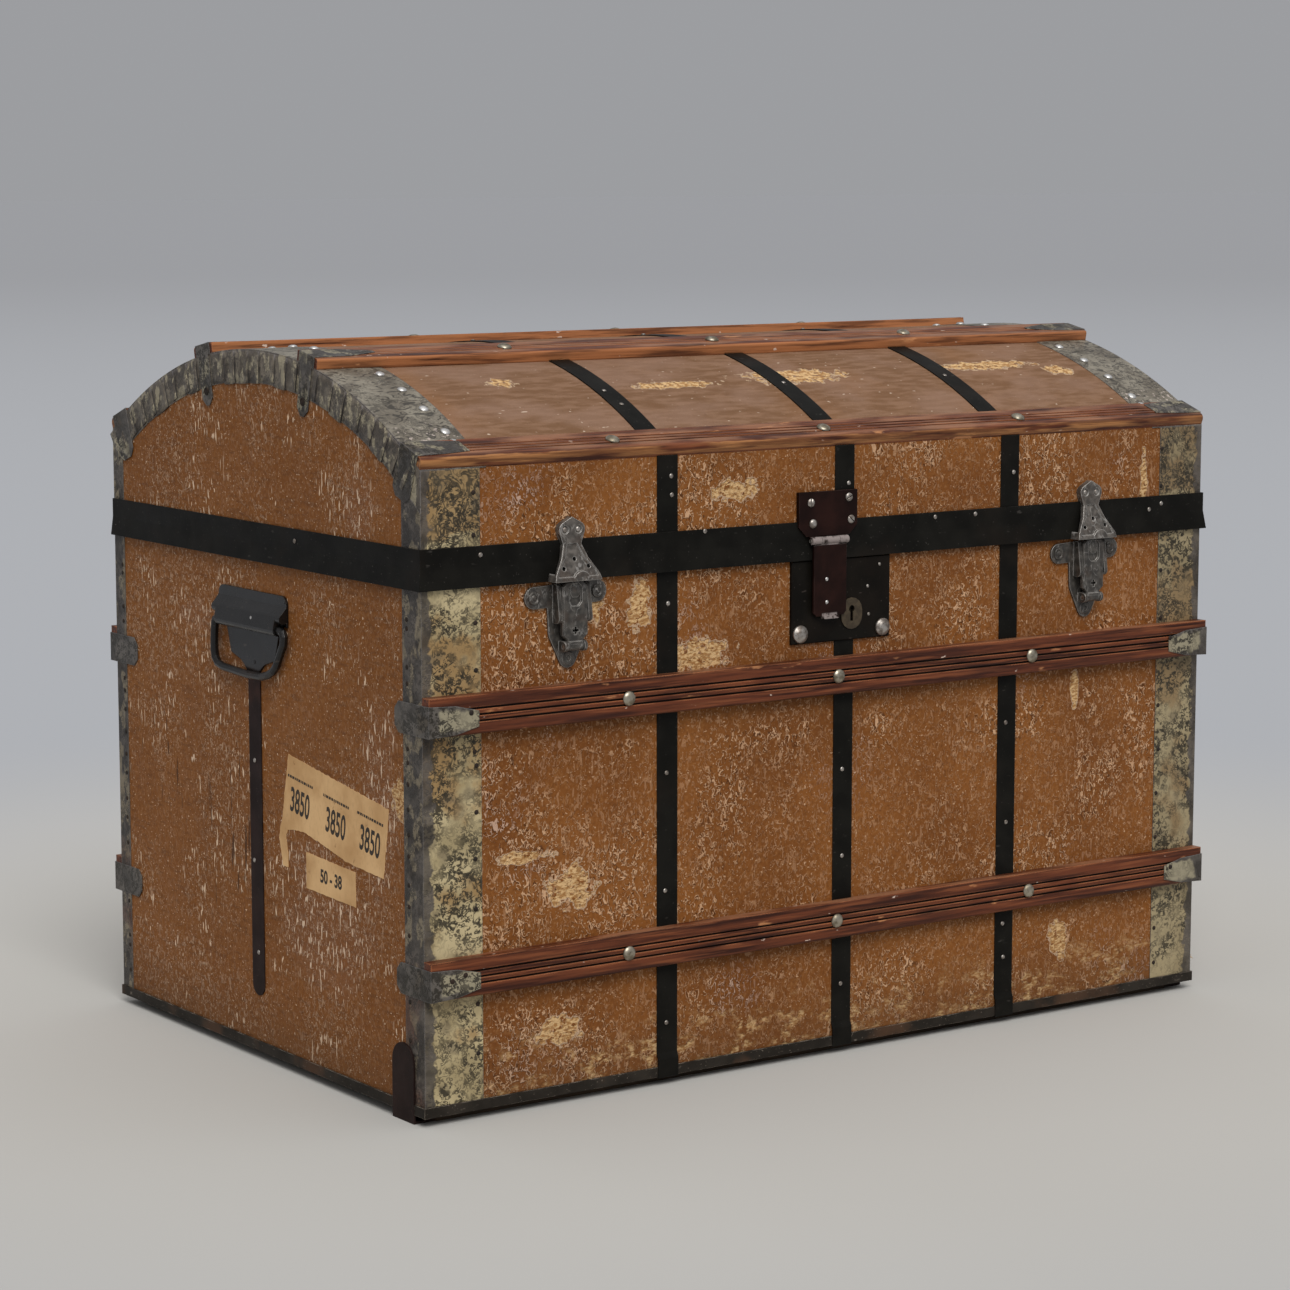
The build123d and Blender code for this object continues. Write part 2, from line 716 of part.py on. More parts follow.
def slat(plane, width, thickness, nose, sink, blockers):
    """Moulded slat: grooves along it, one rounded edge, its back let in over what it crosses."""
    with BuildPart() as piece:
        with BuildSketch(side_plane(plane, -tin_length / 2)) as section:
            with Locations((-sink, 0)):
                Rectangle(thickness + sink, width, align=(Align.MIN, Align.CENTER))
            outer_corners = section.vertices().group_by(Axis.X)[-1].sort_by(Axis.Y)
            fillet(outer_corners[0], nose)
            fillet(outer_corners[-1], slat_round)
            with Locations(*[(thickness, step * groove_pitch) for step in (-1, 0, 1)]):
                Rectangle(2 * groove_depth, groove_width, mode=Mode.SUBTRACT)
        extrude(amount=-tin_length)
        for blocker in blockers:
            add(blocker, mode=Mode.SUBTRACT)
    return piece


body_slats = {
    "front_upper_slat": raised(FRONT, upper_slat_height),
    "front_lower_slat": raised(FRONT, lower_slat_height),
    "back_upper_slat": raised(BACK, upper_slat_height),
    "back_lower_slat": raised(BACK, lower_slat_height),
}
body_blockers = [body_hoops.part] + [tin.part for tin in body_tins.values()]
body_nail_list = []
for name, plane in body_slats.items():
    nails = slat_nails(plane, slat_thickness)
    body_nail_list.append(nails)
    save(slat(plane, body_slat_width, slat_thickness, slat_round, 0, body_blockers + [nails]), name)

top_slats = {"front_top_slat": dome_plane(-top_slat_angle), "back_top_slat": dome_plane(top_slat_angle)}
edge_slats = {"front_edge_slat": eave_plane(-1), "back_edge_slat": eave_plane(1)}
lid_blockers = [canvas_block, lid_hoops.part, left_dome_binding.part, right_dome_binding.part,
                lid_corner_tins.part]
lid_nail_list = []
for name, plane in (top_slats | edge_slats).items():
    is_edge = name in edge_slats
    thickness = edge_slat_thickness if is_edge else lid_slat_thickness
    nose = edge_slat_nose if is_edge else slat_round
    nails = slat_nails(plane, thickness)
    lid_nail_list.append(nails)
    save(slat(plane, lid_slat_width, thickness, nose, slat_sink, lid_blockers + [nails]), name)

with BuildPart() as body_slat_nails:
    for nails in body_nail_list:
        add(nails)
save(body_slat_nails, "body_slat_nails")

with BuildPart() as lid_slat_nails:
    for nails in lid_nail_list:
        add(nails)
save(lid_slat_nails, "lid_slat_nails")


def slat_clip(plane, side, thickness, shift, width, tip, reach, tongue, tongue_width):
    """Sheet clip on one end of a slat: a narrowing leaf and a tongue folded over the trunk's end."""
    end = tin_length / 2
    end_plane = Plane(origin=plane.from_local_coords(Vector(side * end, 0, 0)),
                      x_dir=plane.y_dir * side, z_dir=plane.x_dir * side)
    outer = side * (end + clip_thickness)
    shoulder = side * (end + clip_thickness - clip_shoulder * reach)
    inner = side * (end + clip_thickness - reach)
    half = width / 2
    with BuildPart() as clip:
        with BuildSketch(plane.offset(thickness)):
            with BuildLine():
                Polyline((outer, shift - half), (outer, shift + half),
                         (shoulder, shift + half * clip_taper),
                         (inner, shift + tip / 2), (inner, shift - tip / 2),
                         (shoulder, shift - half * clip_taper), close=True)
            make_face()
        extrude(amount=clip_thickness)
        with BuildSketch(end_plane) as flap:
            with Locations((side * shift, -tongue)):
                Rectangle(tongue_width, tongue + clip_corner, align=(Align.CENTER, Align.MIN))
            chamfer(flap.vertices(), clip_corner)
            with Locations((side * shift, thickness + clip_thickness)):
                Rectangle(width, thickness + clip_thickness, align=(Align.CENTER, Align.MAX))
        extrude(amount=clip_thickness)
    return clip.part


with BuildPart() as body_slat_clips:
    for plane in body_slats.values():
        for side in (-1, 1):
            add(slat_clip(plane, side, slat_thickness, -body_clip_drop, body_clip_width, body_clip_tip,
                          body_clip_reach, body_clip_tongue, body_clip_width))
save(body_slat_clips, "body_slat_clips")

with BuildPart() as lid_slat_clips:
    for side in (-1, 1):
        for plane in top_slats.values():
            add(slat_clip(plane, side, lid_slat_thickness, 0, top_clip_width, top_clip_tip,
                          top_clip_reach, top_clip_tongue, top_tongue_width))
        for plane in edge_slats.values():
            add(slat_clip(plane, side, edge_slat_thickness, edge_clip_rise, edge_clip_width,
                          edge_clip_tip, edge_clip_reach, edge_clip_tongue, edge_clip_width))
save(lid_slat_clips, "lid_slat_clips")


# ---- Band round the lid --------------------------------------------------------------------------
def band_block(grow):
    """Block inside the band's inner or outer face: upright above, leaning out below."""
    with BuildPart() as block:
        with BuildSketch(Plane.XY.offset(band_flare_start)) as neck:
            Rectangle(canvas_length + 2 * grow, canvas_depth + 2 * grow)
        extrude(amount=band_top - band_flare_start)
        add(neck.sketch)
        with BuildSketch(Plane.XY.offset(band_bottom)):
            Rectangle(canvas_length + 2 * (grow + band_flare), canvas_depth + 2 * (grow + band_flare))
        loft()
    return block.part


with BuildPart() as lid_band:
    add(band_block(band_face))
    add(band_block(hoop_thickness), mode=Mode.SUBTRACT)
    # the band is open at the back, where the hinges are
    with BuildSketch(Plane.XY.offset(band_bottom)):
        with Locations((0, canvas_depth / 2)):
            Rectangle(2 * canvas_length, canvas_depth, align=(Align.CENTER, Align.MIN))
    extrude(amount=band_height, mode=Mode.SUBTRACT)
save(lid_band, "lid_band")


# ---- Lock, escutcheon and its bolts --------------------------------------------------------------
lock_bolt_places = [
    (lock_x + side * (lock_width / 2 - lock_bolt_inset), lock_top - lock_height + lock_bolt_inset, 0)
    for side in (-1, 1)
]
with BuildPart() as lock_bolts:
    with Locations(FRONT.offset(lock_thickness)):
        with Locations(*lock_bolt_places):
            add(dome_nail(lock_bolt_radius, lock_bolt_rise, lock_thickness - hoop_thickness))
save(lock_bolts, "lock_bolts")

staple_middle = hasp_hinge_height - hasp_length / 2
with BuildPart() as lock_plate:
    with BuildSketch(FRONT):
        with Locations((lock_x, lock_middle)):
            Rectangle(lock_width, lock_height)
    extrude(amount=lock_thickness)
    chamfer(lock_plate.faces().sort_by(Axis.Y)[0].edges(), lock_plate_bevel)
    with BuildSketch(FRONT.offset(lock_thickness)):
        with Locations((hasp_x, staple_middle)):
            Rectangle(staple_width + 2 * staple_play, staple_height + 2 * staple_play)
    extrude(amount=-lock_thickness, mode=Mode.SUBTRACT)
    add(keyhole_cutter(0, lock_thickness), mode=Mode.SUBTRACT)
    add(body_hoops.part, mode=Mode.SUBTRACT)
    add(lock_bolts.part, mode=Mode.SUBTRACT)
save(lock_plate, "lock_plate")

with BuildPart() as lock_case:
    with BuildSketch(FRONT):
        with Locations((lock_x, lock_middle)):
            Rectangle(lock_case_width, lock_case_height)
    extrude(amount=-lock_case_depth)
    with BuildSketch(FRONT):
        with Locations((hasp_x, staple_middle)):
            Rectangle(staple_width + 2 * staple_play, staple_height + 2 * staple_play)
    extrude(amount=-lock_case_depth + lock_case_wall, mode=Mode.SUBTRACT)
    add(keyhole_cutter(lock_case_wall - lock_case_depth, 0), mode=Mode.SUBTRACT)
save(lock_case, "lock_case")

escutcheon_middle = keyhole_height - escutcheon_lift
escutcheon_stretch = (escutcheon_height - escutcheon_width) / 2
with BuildPart() as escutcheon:
    oval = hulled(FRONT.offset(lock_thickness),
                  (keyhole_x, escutcheon_middle - escutcheon_stretch, escutcheon_width / 2),
                  (keyhole_x, escutcheon_middle + escutcheon_stretch, escutcheon_width / 2))
    extrude(oval, amount=escutcheon_thickness)
    add(keyhole_cutter(lock_thickness, lock_thickness + escutcheon_thickness), mode=Mode.SUBTRACT)
save(escutcheon, "escutcheon")

# ---- Hasp, hung from a plate on the lid ----------------------------------------------------------
hasp_axis_depth = band_face + hasp_knuckle_radius + seat_gap
hasp_axis = Plane(origin=FRONT.from_local_coords(Vector(hasp_x, hasp_hinge_height, hasp_axis_depth)),
                  x_dir=FRONT.z_dir, z_dir=-FRONT.x_dir)

with BuildPart() as hasp_plate:
    with BuildSketch(side_plane(FRONT, hasp_x - hasp_plate_width / 2)):
        with BuildLine():
            plate_face = band_face + hasp_plate_thickness
            plate_foot = hasp_hinge_height + hasp_knuckle_radius + seat_gap
            Polyline(
                (band_face, plate_foot),
                (plate_face, plate_foot),
                (plate_face, plate_foot + hasp_plate_height),
                (hoop_thickness, plate_foot + hasp_plate_height),
                (hoop_thickness, band_top),
                (band_face, band_top),
                close=True,
            )
        make_face()
    extrude(amount=-hasp_plate_width)
    chamfer(hasp_plate.edges().filter_by(Axis.Y).group_by(Axis.Z)[0], hasp_plate_corner)
    for side in (-1, 1):
        start = hasp_barrel_length / 4 if side > 0 else -hasp_barrel_length / 2
        with BuildSketch(side_plane(FRONT, hasp_x - start)):
            with Locations((band_face + seat_gap, hasp_hinge_height)):
                Rectangle(hasp_plate_thickness - seat_gap, plate_foot - hasp_hinge_height + seat_gap,
                          align=(Align.MIN, Align.MIN))
        extrude(amount=hasp_barrel_length / 4)
        add(rod(hasp_axis, hasp_knuckle_radius, start, hasp_barrel_length / 4))
    add(bore(hasp_axis, hasp_pin_radius + pin_clearance, -hasp_plate_width / 2, hasp_plate_width),
        mode=Mode.SUBTRACT)
save(hasp_plate, "hasp_plate")

with BuildPart() as hasp_pin:
    pin_length = hasp_barrel_length + 2 * pin_head
    add(rod(hasp_axis, hasp_pin_radius, -pin_length / 2, pin_length))
save(hasp_pin, "hasp_pin")

hasp_back = band_face + band_flare + 2 * seat_gap
with BuildPart() as hasp:
    middle = hasp_barrel_length / 2 - 2 * seat_gap
    shoulder = hasp_hinge_height - hasp_knuckle_radius - 2 * seat_gap
    with BuildSketch(FRONT.offset(hasp_back)) as strap:
        with Locations((hasp_x, shoulder)):
            Rectangle(hasp_width, shoulder - hasp_hinge_height + hasp_length,
                      align=(Align.CENTER, Align.MAX))
            Rectangle(middle, hasp_hinge_height - shoulder, align=(Align.CENTER, Align.MIN))
    extrude(amount=hasp_thickness)
    chamfer(hasp.edges().filter_by(Axis.Y).group_by(Axis.Z)[0], hasp_corner)
    with BuildSketch(FRONT.offset(hasp_back)):
        with Locations((hasp_x, hasp_hinge_height - hasp_length)):
            Rectangle(hasp_lip_width, hasp_thickness, align=(Align.CENTER, Align.MAX))
    extrude(amount=2 * hasp_thickness)
    add(rod(hasp_axis, hasp_knuckle_radius, -middle / 2, middle))
    with BuildSketch(FRONT.offset(lock_thickness + 2 * seat_gap)):
        with Locations((hasp_x, staple_middle)):
            Rectangle(staple_width, staple_height)
            Rectangle(staple_eye, staple_height - staple_width, mode=Mode.SUBTRACT)
    extrude(amount=hasp_back - lock_thickness - 2 * seat_gap)
    add(bore(hasp_axis, hasp_pin_radius + pin_clearance, -hasp_plate_width / 2, hasp_plate_width),
        mode=Mode.SUBTRACT)
save(hasp, "hasp")


# ---- Draw-bolt latches ---------------------------------------------------------------------------
def latch_axis(across):
    """Plane at a lever's pivot, its Z along the trunk."""
    pivot = FRONT.from_local_coords(Vector(across, lever_pivot_height, lever_pivot_depth))
    return Plane(origin=pivot, x_dir=FRONT.z_dir, z_dir=-FRONT.x_dir)


def latch_plate(across):
    """Cast plate on the body: two ears, a foot narrowing to a boss, guards and hinge eyes."""
    ear_places = [(across + shift, seam_height - drop) for shift, drop in latch_ears]
    middle = across + latch_foot_shift
    shoulder_offset = latch_shoulder - latch_ear_radius
    waist_offset = latch_waist - latch_waist_radius
    eye_radius = lever_barrel_radius + eye_wall
    with BuildPart() as plate:
        ears = hulled(FRONT, *[(x, z, latch_ear_radius) for x, z in ear_places])
        foot = hulled(FRONT, (middle - shoulder_offset, latch_shoulder_height, latch_ear_radius),
                      (middle + shoulder_offset, latch_shoulder_height, latch_ear_radius),
                      (middle - waist_offset, latch_waist_height, latch_waist_radius),
                      (middle + waist_offset, latch_waist_height, latch_waist_radius),
                      (middle, latch_boss_height, latch_boss_radius))
        extrude(ears, amount=latch_plate_thickness)
        extrude(foot, amount=latch_plate_thickness)
        with BuildSketch(FRONT.offset(latch_plate_thickness)):
            with Locations((middle, latch_boss_height)):
                RegularPolygon(latch_ring_radius, round_sides)
        extrude(amount=latch_ring_rise)
        with BuildSketch(FRONT):
            with Locations(*ear_places, (middle, latch_boss_height)):
                RegularPolygon(latch_hole_radius, nail_sides)
        extrude(amount=latch_plate_thickness + latch_ring_rise, mode=Mode.SUBTRACT)
        for side in (-1, 1):
            guard_side = across + side * (lever_width / 2 + seat_gap) - (side < 0) * guard_thickness
            guard = hulled(side_plane(FRONT, guard_side),
                           (guard_depth, guard_height, guard_radius),
                           (guard_top_depth, guard_top_height, guard_top_radius),
                           (guard_top_radius, guard_top_height, guard_top_radius),
                           (guard_radius, guard_height, guard_radius))
            extrude(guard, amount=-guard_thickness)
            eye_side = across + side * (lever_barrel_length / 2 + seat_gap) - (side < 0) * eye_thickness
            eye = hulled(side_plane(FRONT, eye_side),
                         (lever_pivot_depth, lever_pivot_height, eye_radius),
                         (eye_radius, lever_pivot_height, eye_radius))
            extrude(eye, amount=-eye_thickness)
        add(bore(latch_axis(across), lever_pin_radius, -lever_width, 2 * lever_width), mode=Mode.SUBTRACT)
    return plate


def latch_lever(across):
    """Draw bolt: a dished lever on a barrel, with a bolt nose at its top."""
    top = band_bottom - 2 * seat_gap
    back = lever_pivot_depth - lever_seat
    half = lever_width / 2
    foot = lever_barrel_length / 2
    eye_top = lever_pivot_height + lever_barrel_radius + eye_wall + 2 * seat_gap
    with BuildPart() as lever:
        with BuildSketch(FRONT.offset(back)) as outline:
            with BuildLine():
                Polyline((across - half, top), (across + half, top),
                         (across + half, eye_top + lever_shoulder_rise), (across + foot, eye_top),
                         (across + foot, lever_pivot_height), (across - foot, lever_pivot_height),
                         (across - foot, eye_top), (across - half, eye_top + lever_shoulder_rise),
                         close=True)
            make_face()
            chamfer(outline.vertices().group_by(Axis.Y)[-1], lever_thickness)
        extrude(amount=lever_thickness)
        chamfer(lever.faces().sort_by(Axis.Y)[0].edges(), lever_edge)
        # the dished window in which the bolt's nose shows
        with BuildSketch(FRONT.offset(back + lever_thickness)) as window:
            with Locations((across, top - window_inset)):
                Rectangle(window_width, window_height)
            chamfer(window.vertices(), window_corner)
        extrude(amount=-window_depth, mode=Mode.SUBTRACT)
        with BuildSketch(FRONT.offset(back + lever_thickness - window_depth)) as nose:
            with Locations((across, top - nose_inset)):
                Rectangle(nose_width, nose_height)
            chamfer(nose.vertices(), nose_corner)
        extrude(amount=nose_rise)
        with BuildSketch(FRONT.offset(back + lever_thickness)):
            with Locations((across, lever_pivot_height + ridge_above)):
                Rectangle(ridge_width, ridge_height)
        extrude(amount=ridge_rise)
        with BuildSketch(FRONT.offset(back + lever_thickness)):
            with Locations((across, lever_pivot_height + cross_rise)):
                Rectangle(cross_size, cross_arm)
                Rectangle(cross_arm, cross_size)
        extrude(amount=-lever_thickness, mode=Mode.SUBTRACT)
        add(rod(latch_axis(across), lever_barrel_radius, -foot, lever_barrel_length))
        add(bore(latch_axis(across), lever_pin_radius + pin_clearance, -foot, lever_barrel_length),
            mode=Mode.SUBTRACT)
    return lever


def hood_outline(across, inset):
    """Bell-shaped outline of a hood's skirt and neck on the front, drawn in by an inset."""
    foot = band_bottom + inset
    half_outline = (
        (hood_neck_width / 2 - inset, hood_neck_height),
        (hood_bell_width / 2 - inset, band_bottom + hood_bell_rise),
        (hood_skirt_width / 2 - hood_heel_inset - inset, foot + hood_heel),
        (hood_skirt_width / 2 - inset, foot),
    )
    with BuildSketch(FRONT) as outline:
        with BuildLine():
            Polyline(*[(across + half, z) for half, z in half_outline],
                     *[(across - half, z) for half, z in reversed(half_outline)], close=True)
        make_face()
    return outline.sketch


def hood_wedge(across, lowered):
    """Block under the hood's front, which slopes out from the neck to the lip."""
    lip = hood_depth - lowered
    neck = hood_neck_depth - lowered
    with BuildPart() as wedge:
        with BuildSketch(side_plane(FRONT, across - hood_skirt_width)):
            with BuildLine():
                Polyline((0, band_bottom), (lip, band_bottom), (lip, band_bottom + hood_wall),
                         (neck, hood_neck_height), (neck, hood_tip_height), (0, hood_tip_height),
                         close=True)
            make_face()
        extrude(amount=-2 * hood_skirt_width)
    return wedge.part


def latch_hood(across):
    """Cast hood on the lid: a riveted head, a neck and a bell-shaped skirt, open below."""
    skirt = hood_skirt_width / 2
    with BuildPart() as panel:
        extrude(hood_outline(across, hood_rim), amount=hood_depth)
        add(hood_wedge(across, hood_panel_depth), mode=Mode.SUBTRACT)
    with BuildPart() as hood:
        extrude(hood_outline(across, 0), amount=hood_depth)
        head = hulled(FRONT, (across - hood_head_spread, hood_head_height, hood_head_radius),
                      (across + hood_head_spread, hood_head_height, hood_head_radius),
                      (across, hood_tip_height - hood_tip_radius, hood_tip_radius),
                      (across, hood_neck_height, hood_neck_width / 2))
        extrude(head, amount=hood_depth)
        add(hood_wedge(across, 0), mode=Mode.INTERSECT)
        # the panel inside the raised edge, with an arched boss at the lip and three holes
        add(panel.part, mode=Mode.SUBTRACT)
        with BuildSketch(FRONT):
            with Locations((across + hood_boss_shift, band_bottom)):
                RegularPolygon(hood_boss_radius, round_sides)
                Rectangle(2 * hood_boss_radius, hood_boss_radius, align=(Align.CENTER, Align.MAX),
                          mode=Mode.SUBTRACT)
        extrude(amount=hood_depth)
        with BuildSketch(FRONT.offset(band_face)):
            with Locations(*[(across + shift, band_bottom + rise) for shift, rise in hood_holes]):
                RegularPolygon(hood_hole_radius, hood_hole_sides)
        extrude(amount=hood_depth, mode=Mode.SUBTRACT)
        with BuildSketch(FRONT.offset(hood_neck_depth)):
            with Locations(*[(across + side * rivet_spread, hood_head_height) for side in (-1, 1)]):
                RegularPolygon(rivet_recess_radius, nail_sides)
        extrude(amount=-hood_panel_depth, mode=Mode.SUBTRACT)
        # hollow behind, where the bolt goes up
        with BuildSketch(side_plane(FRONT, across - skirt + hood_wall)):
            with BuildLine():
                Polyline((band_face, band_bottom), (hood_depth - hood_wall, band_bottom),
                         (hood_depth - hood_wall, band_bottom + hood_wall),
                         (band_face, hood_neck_height - hood_wall), close=True)
            make_face()
        extrude(amount=2 * hood_wall - hood_skirt_width, mode=Mode.SUBTRACT)
        add(lid_band.part, mode=Mode.SUBTRACT)
    return hood


save(latch_plate(-latch_x), "left_latch_plate")
save(latch_plate(latch_x), "right_latch_plate")
save(latch_lever(-latch_x), "left_latch_lever")
save(latch_lever(latch_x), "right_latch_lever")

with BuildPart() as latch_hoods:
    add(latch_hood(-latch_x).part)
    add(latch_hood(latch_x).part)
save(latch_hoods, "latch_hoods")

with BuildPart() as latch_pins:
    for across in (-latch_x, latch_x):
        half = lever_barrel_length / 2 + seat_gap + eye_thickness
        add(rod(latch_axis(across), lever_pin_radius, -half, 2 * half))
save(latch_pins, "latch_pins")


# ---- End handles ---------------------------------------------------------------------------------
def handle_plate(plane, across):
    """Plate on one end: rolled round the bail's bar above a shield that tapers to the strap below."""
    hole = bail_wire_radius + bail_clearance
    roll = hole + roll_wall
    axis_depth = roll + seat_gap
    half = handle_plate_thickness / 2
    roll_bottom = bail_pivot_height - roll
    shoulder = bail_pivot_height - shield_drop
    with BuildPart() as piece:
        with BuildSketch(plane):
            with Locations((across, handle_plate_top)):
                Rectangle(handle_plate_width, handle_plate_top - bail_pivot_height - roll / 2,
                          align=(Align.CENTER, Align.MAX))
        extrude(amount=handle_plate_thickness)
        fillet(piece.edges().filter_by(Axis.X).group_by(Axis.Z)[-1], handle_corner_radius)
        crest = (bulge_depth, bail_pivot_height + bulge_rise, bulge_radius)
        bulge = hulled(side_plane(plane, across - handle_plate_width / 2), crest,
                       (half, bail_pivot_height + bulge_rise, half),
                       (half, bail_pivot_height + bulge_top_rise, half))
        extrude(bulge, amount=-handle_plate_width)
        barrel = hulled(side_plane(plane, across - handle_roll_width / 2), crest,
                        (axis_depth, bail_pivot_height, roll))
        extrude(barrel, amount=-handle_roll_width)
        with BuildSketch(plane):
            with BuildLine():
                Polyline((across - shield_foot_width, shoulder), (across - shield_half_width, roll_bottom),
                         (across - shield_half_width, bail_pivot_height),
                         (across + shield_half_width, bail_pivot_height),
                         (across + shield_half_width, roll_bottom), (across + shield_foot_width, shoulder))
                for side in (-1, 1):
                    Bezier((across + side * shield_foot_width, shoulder),
                           (across + side * shield_curve, shoulder - shield_curve_drop),
                           (across + side * end_strap_width, shoulder - shield_curve_drop / 2),
                           (across + side * end_strap_width / 2, handle_tongue_end))
                Line((across - end_strap_width / 2, handle_tongue_end),
                     (across + end_strap_width / 2, handle_tongue_end))
            make_face()
        extrude(amount=handle_plate_thickness)
        with BuildSketch(side_plane(plane, across - handle_plate_width / 2)):
            with Locations((axis_depth, bail_pivot_height)):
                RegularPolygon(hole, round_sides, major_radius=False)
        extrude(amount=-handle_plate_width, mode=Mode.SUBTRACT)
    return piece


def bail_half(bar, across, side, path):
    """Half of the bail's wire, bent along a path from the roll to the middle of the grip."""
    bends = [(across + side * reach, bail_pivot_height - drop) for reach, drop in path]
    with BuildPart() as half:
        with BuildLine(bar):
            Polyline((across, bail_pivot_height), (across + side * bail_bar, bail_pivot_height),
                     *bends, (across, bail_pivot_height - bail_drop))
        with BuildSketch(side_plane(bar, across)):
            with Locations((0, bail_pivot_height)):
                RegularPolygon(bail_wire_radius, nail_sides)
        sweep(transition=Transition.RIGHT)
    return half.part


def handle_bail(plane, across):
    """Wire loop through the plate's roll, bent tighter at the corner towards the back."""
    bar = plane.offset(bail_wire_radius + bail_clearance + roll_wall + seat_gap)
    rear = 1 if plane is RIGHT else -1
    with BuildPart() as bail:
        add(bail_half(bar, across, rear, bail_rear_path))
        add(bail_half(bar, across, -rear, bail_front_path))
    return bail


handle_faces = {"left": (LEFT, -handle_y), "right": (RIGHT, handle_y)}
for name, (plane, across) in handle_faces.items():
    save(handle_plate(plane, across), f"{name}_handle_plate")
    save(handle_bail(plane, across), f"{name}_bail")

with BuildPart() as end_straps:
    for plane, across in handle_faces.values():
        with BuildSketch(plane):
            with Locations((across, handle_tongue_end)):
                Rectangle(end_strap_width, handle_tongue_end - end_strap_bottom - end_strap_width / 2,
                          align=(Align.CENTER, Align.MAX))
            with Locations((across, end_strap_bottom + end_strap_width / 2)):
                Circle(end_strap_width / 2)
        extrude(amount=hoop_thickness)
save(end_straps, "end_straps")

# ---- Back hinges ---------------------------------------------------------------------------------
hinge_axis_depth = hinge_knuckle_radius + 2 * seat_gap
hinge_step = hinge_leaf_width / hinge_knuckles


def hinge_axis(across):
    """Plane on a back hinge's axis, its Z along the trunk."""
    centre = BACK.from_local_coords(Vector(across, seam_height, hinge_axis_depth))
    return Plane(origin=centre, x_dir=BACK.z_dir, z_dir=-BACK.x_dir)


def hinge_leaf(across, up, knuckles):
    """One leaf of a back hinge with its own knuckles; up is +1 for the lid's leaf."""
    clear = hinge_knuckle_radius + 2 * seat_gap
    edge = Align.MIN if up > 0 else Align.MAX
    with BuildPart() as leaf:
        with BuildSketch(BACK):
            with Locations((across, seam_height + up * clear)):
                Rectangle(hinge_leaf_width, hinge_leaf_height, align=(Align.CENTER, edge))
            for number in knuckles:
                place = across - hinge_leaf_width / 2 + (number + 0.5) * hinge_step
                with Locations((place, seam_height + up * seat_gap)):
                    Rectangle(hinge_step - seat_gap, clear, align=(Align.CENTER, edge))
        extrude(amount=hinge_leaf_thickness)
        for number in knuckles:
            start = hinge_leaf_width / 2 - (number + 1) * hinge_step + seat_gap / 2
            add(rod(hinge_axis(across), hinge_knuckle_radius, start, hinge_step - seat_gap))
        add(bore(hinge_axis(across), hinge_pin_radius + pin_clearance, -hinge_leaf_width / 2,
                 hinge_leaf_width), mode=Mode.SUBTRACT)
    return leaf.part


with BuildPart() as lower_hinge_leaves:
    for across in (-hinge_x, hinge_x):
        add(hinge_leaf(across, -1, range(0, hinge_knuckles, 2)))
save(lower_hinge_leaves, "lower_hinge_leaves")

with BuildPart() as upper_hinge_leaves:
    for across in (-hinge_x, hinge_x):
        add(hinge_leaf(across, 1, range(1, hinge_knuckles, 2)))
save(upper_hinge_leaves, "upper_hinge_leaves")

with BuildPart() as hinge_pins:
    for across in (-hinge_x, hinge_x):
        half = hinge_leaf_width / 2 + pin_head
        add(rod(hinge_axis(across), hinge_pin_radius, -half, 2 * half))
save(hinge_pins, "hinge_pins")
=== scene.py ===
"""Looks of the dome-top travelling trunk: materials, small fasteners, labels, light and camera.

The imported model's frame is in metres, +Z up, the front looking along -Y. The places and sizes of small
pieces are given in millimetres.
"""

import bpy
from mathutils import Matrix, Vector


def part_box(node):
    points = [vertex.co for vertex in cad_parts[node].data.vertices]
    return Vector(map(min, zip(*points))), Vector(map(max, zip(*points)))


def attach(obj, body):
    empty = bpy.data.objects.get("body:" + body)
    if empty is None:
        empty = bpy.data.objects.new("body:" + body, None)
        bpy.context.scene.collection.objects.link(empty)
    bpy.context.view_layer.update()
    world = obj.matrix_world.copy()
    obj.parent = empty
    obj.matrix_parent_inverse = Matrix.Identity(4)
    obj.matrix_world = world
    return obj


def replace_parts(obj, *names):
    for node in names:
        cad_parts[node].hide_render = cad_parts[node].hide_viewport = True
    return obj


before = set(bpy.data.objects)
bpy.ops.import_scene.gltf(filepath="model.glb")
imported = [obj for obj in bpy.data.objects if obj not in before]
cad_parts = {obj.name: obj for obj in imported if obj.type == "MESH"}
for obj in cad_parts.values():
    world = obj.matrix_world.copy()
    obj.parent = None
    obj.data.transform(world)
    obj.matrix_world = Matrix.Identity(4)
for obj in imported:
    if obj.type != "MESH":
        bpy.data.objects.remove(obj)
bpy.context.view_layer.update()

from fnmatch import fnmatch
from functools import partialmethod, reduce
from math import atan2, copysign, cos, degrees, hypot, pi, radians, sin
from random import seed, uniform

import bpy
from mathutils import Matrix, Vector

MM = 0.001
seed(11)
bpy.context.scene.view_settings.view_transform = "Standard"

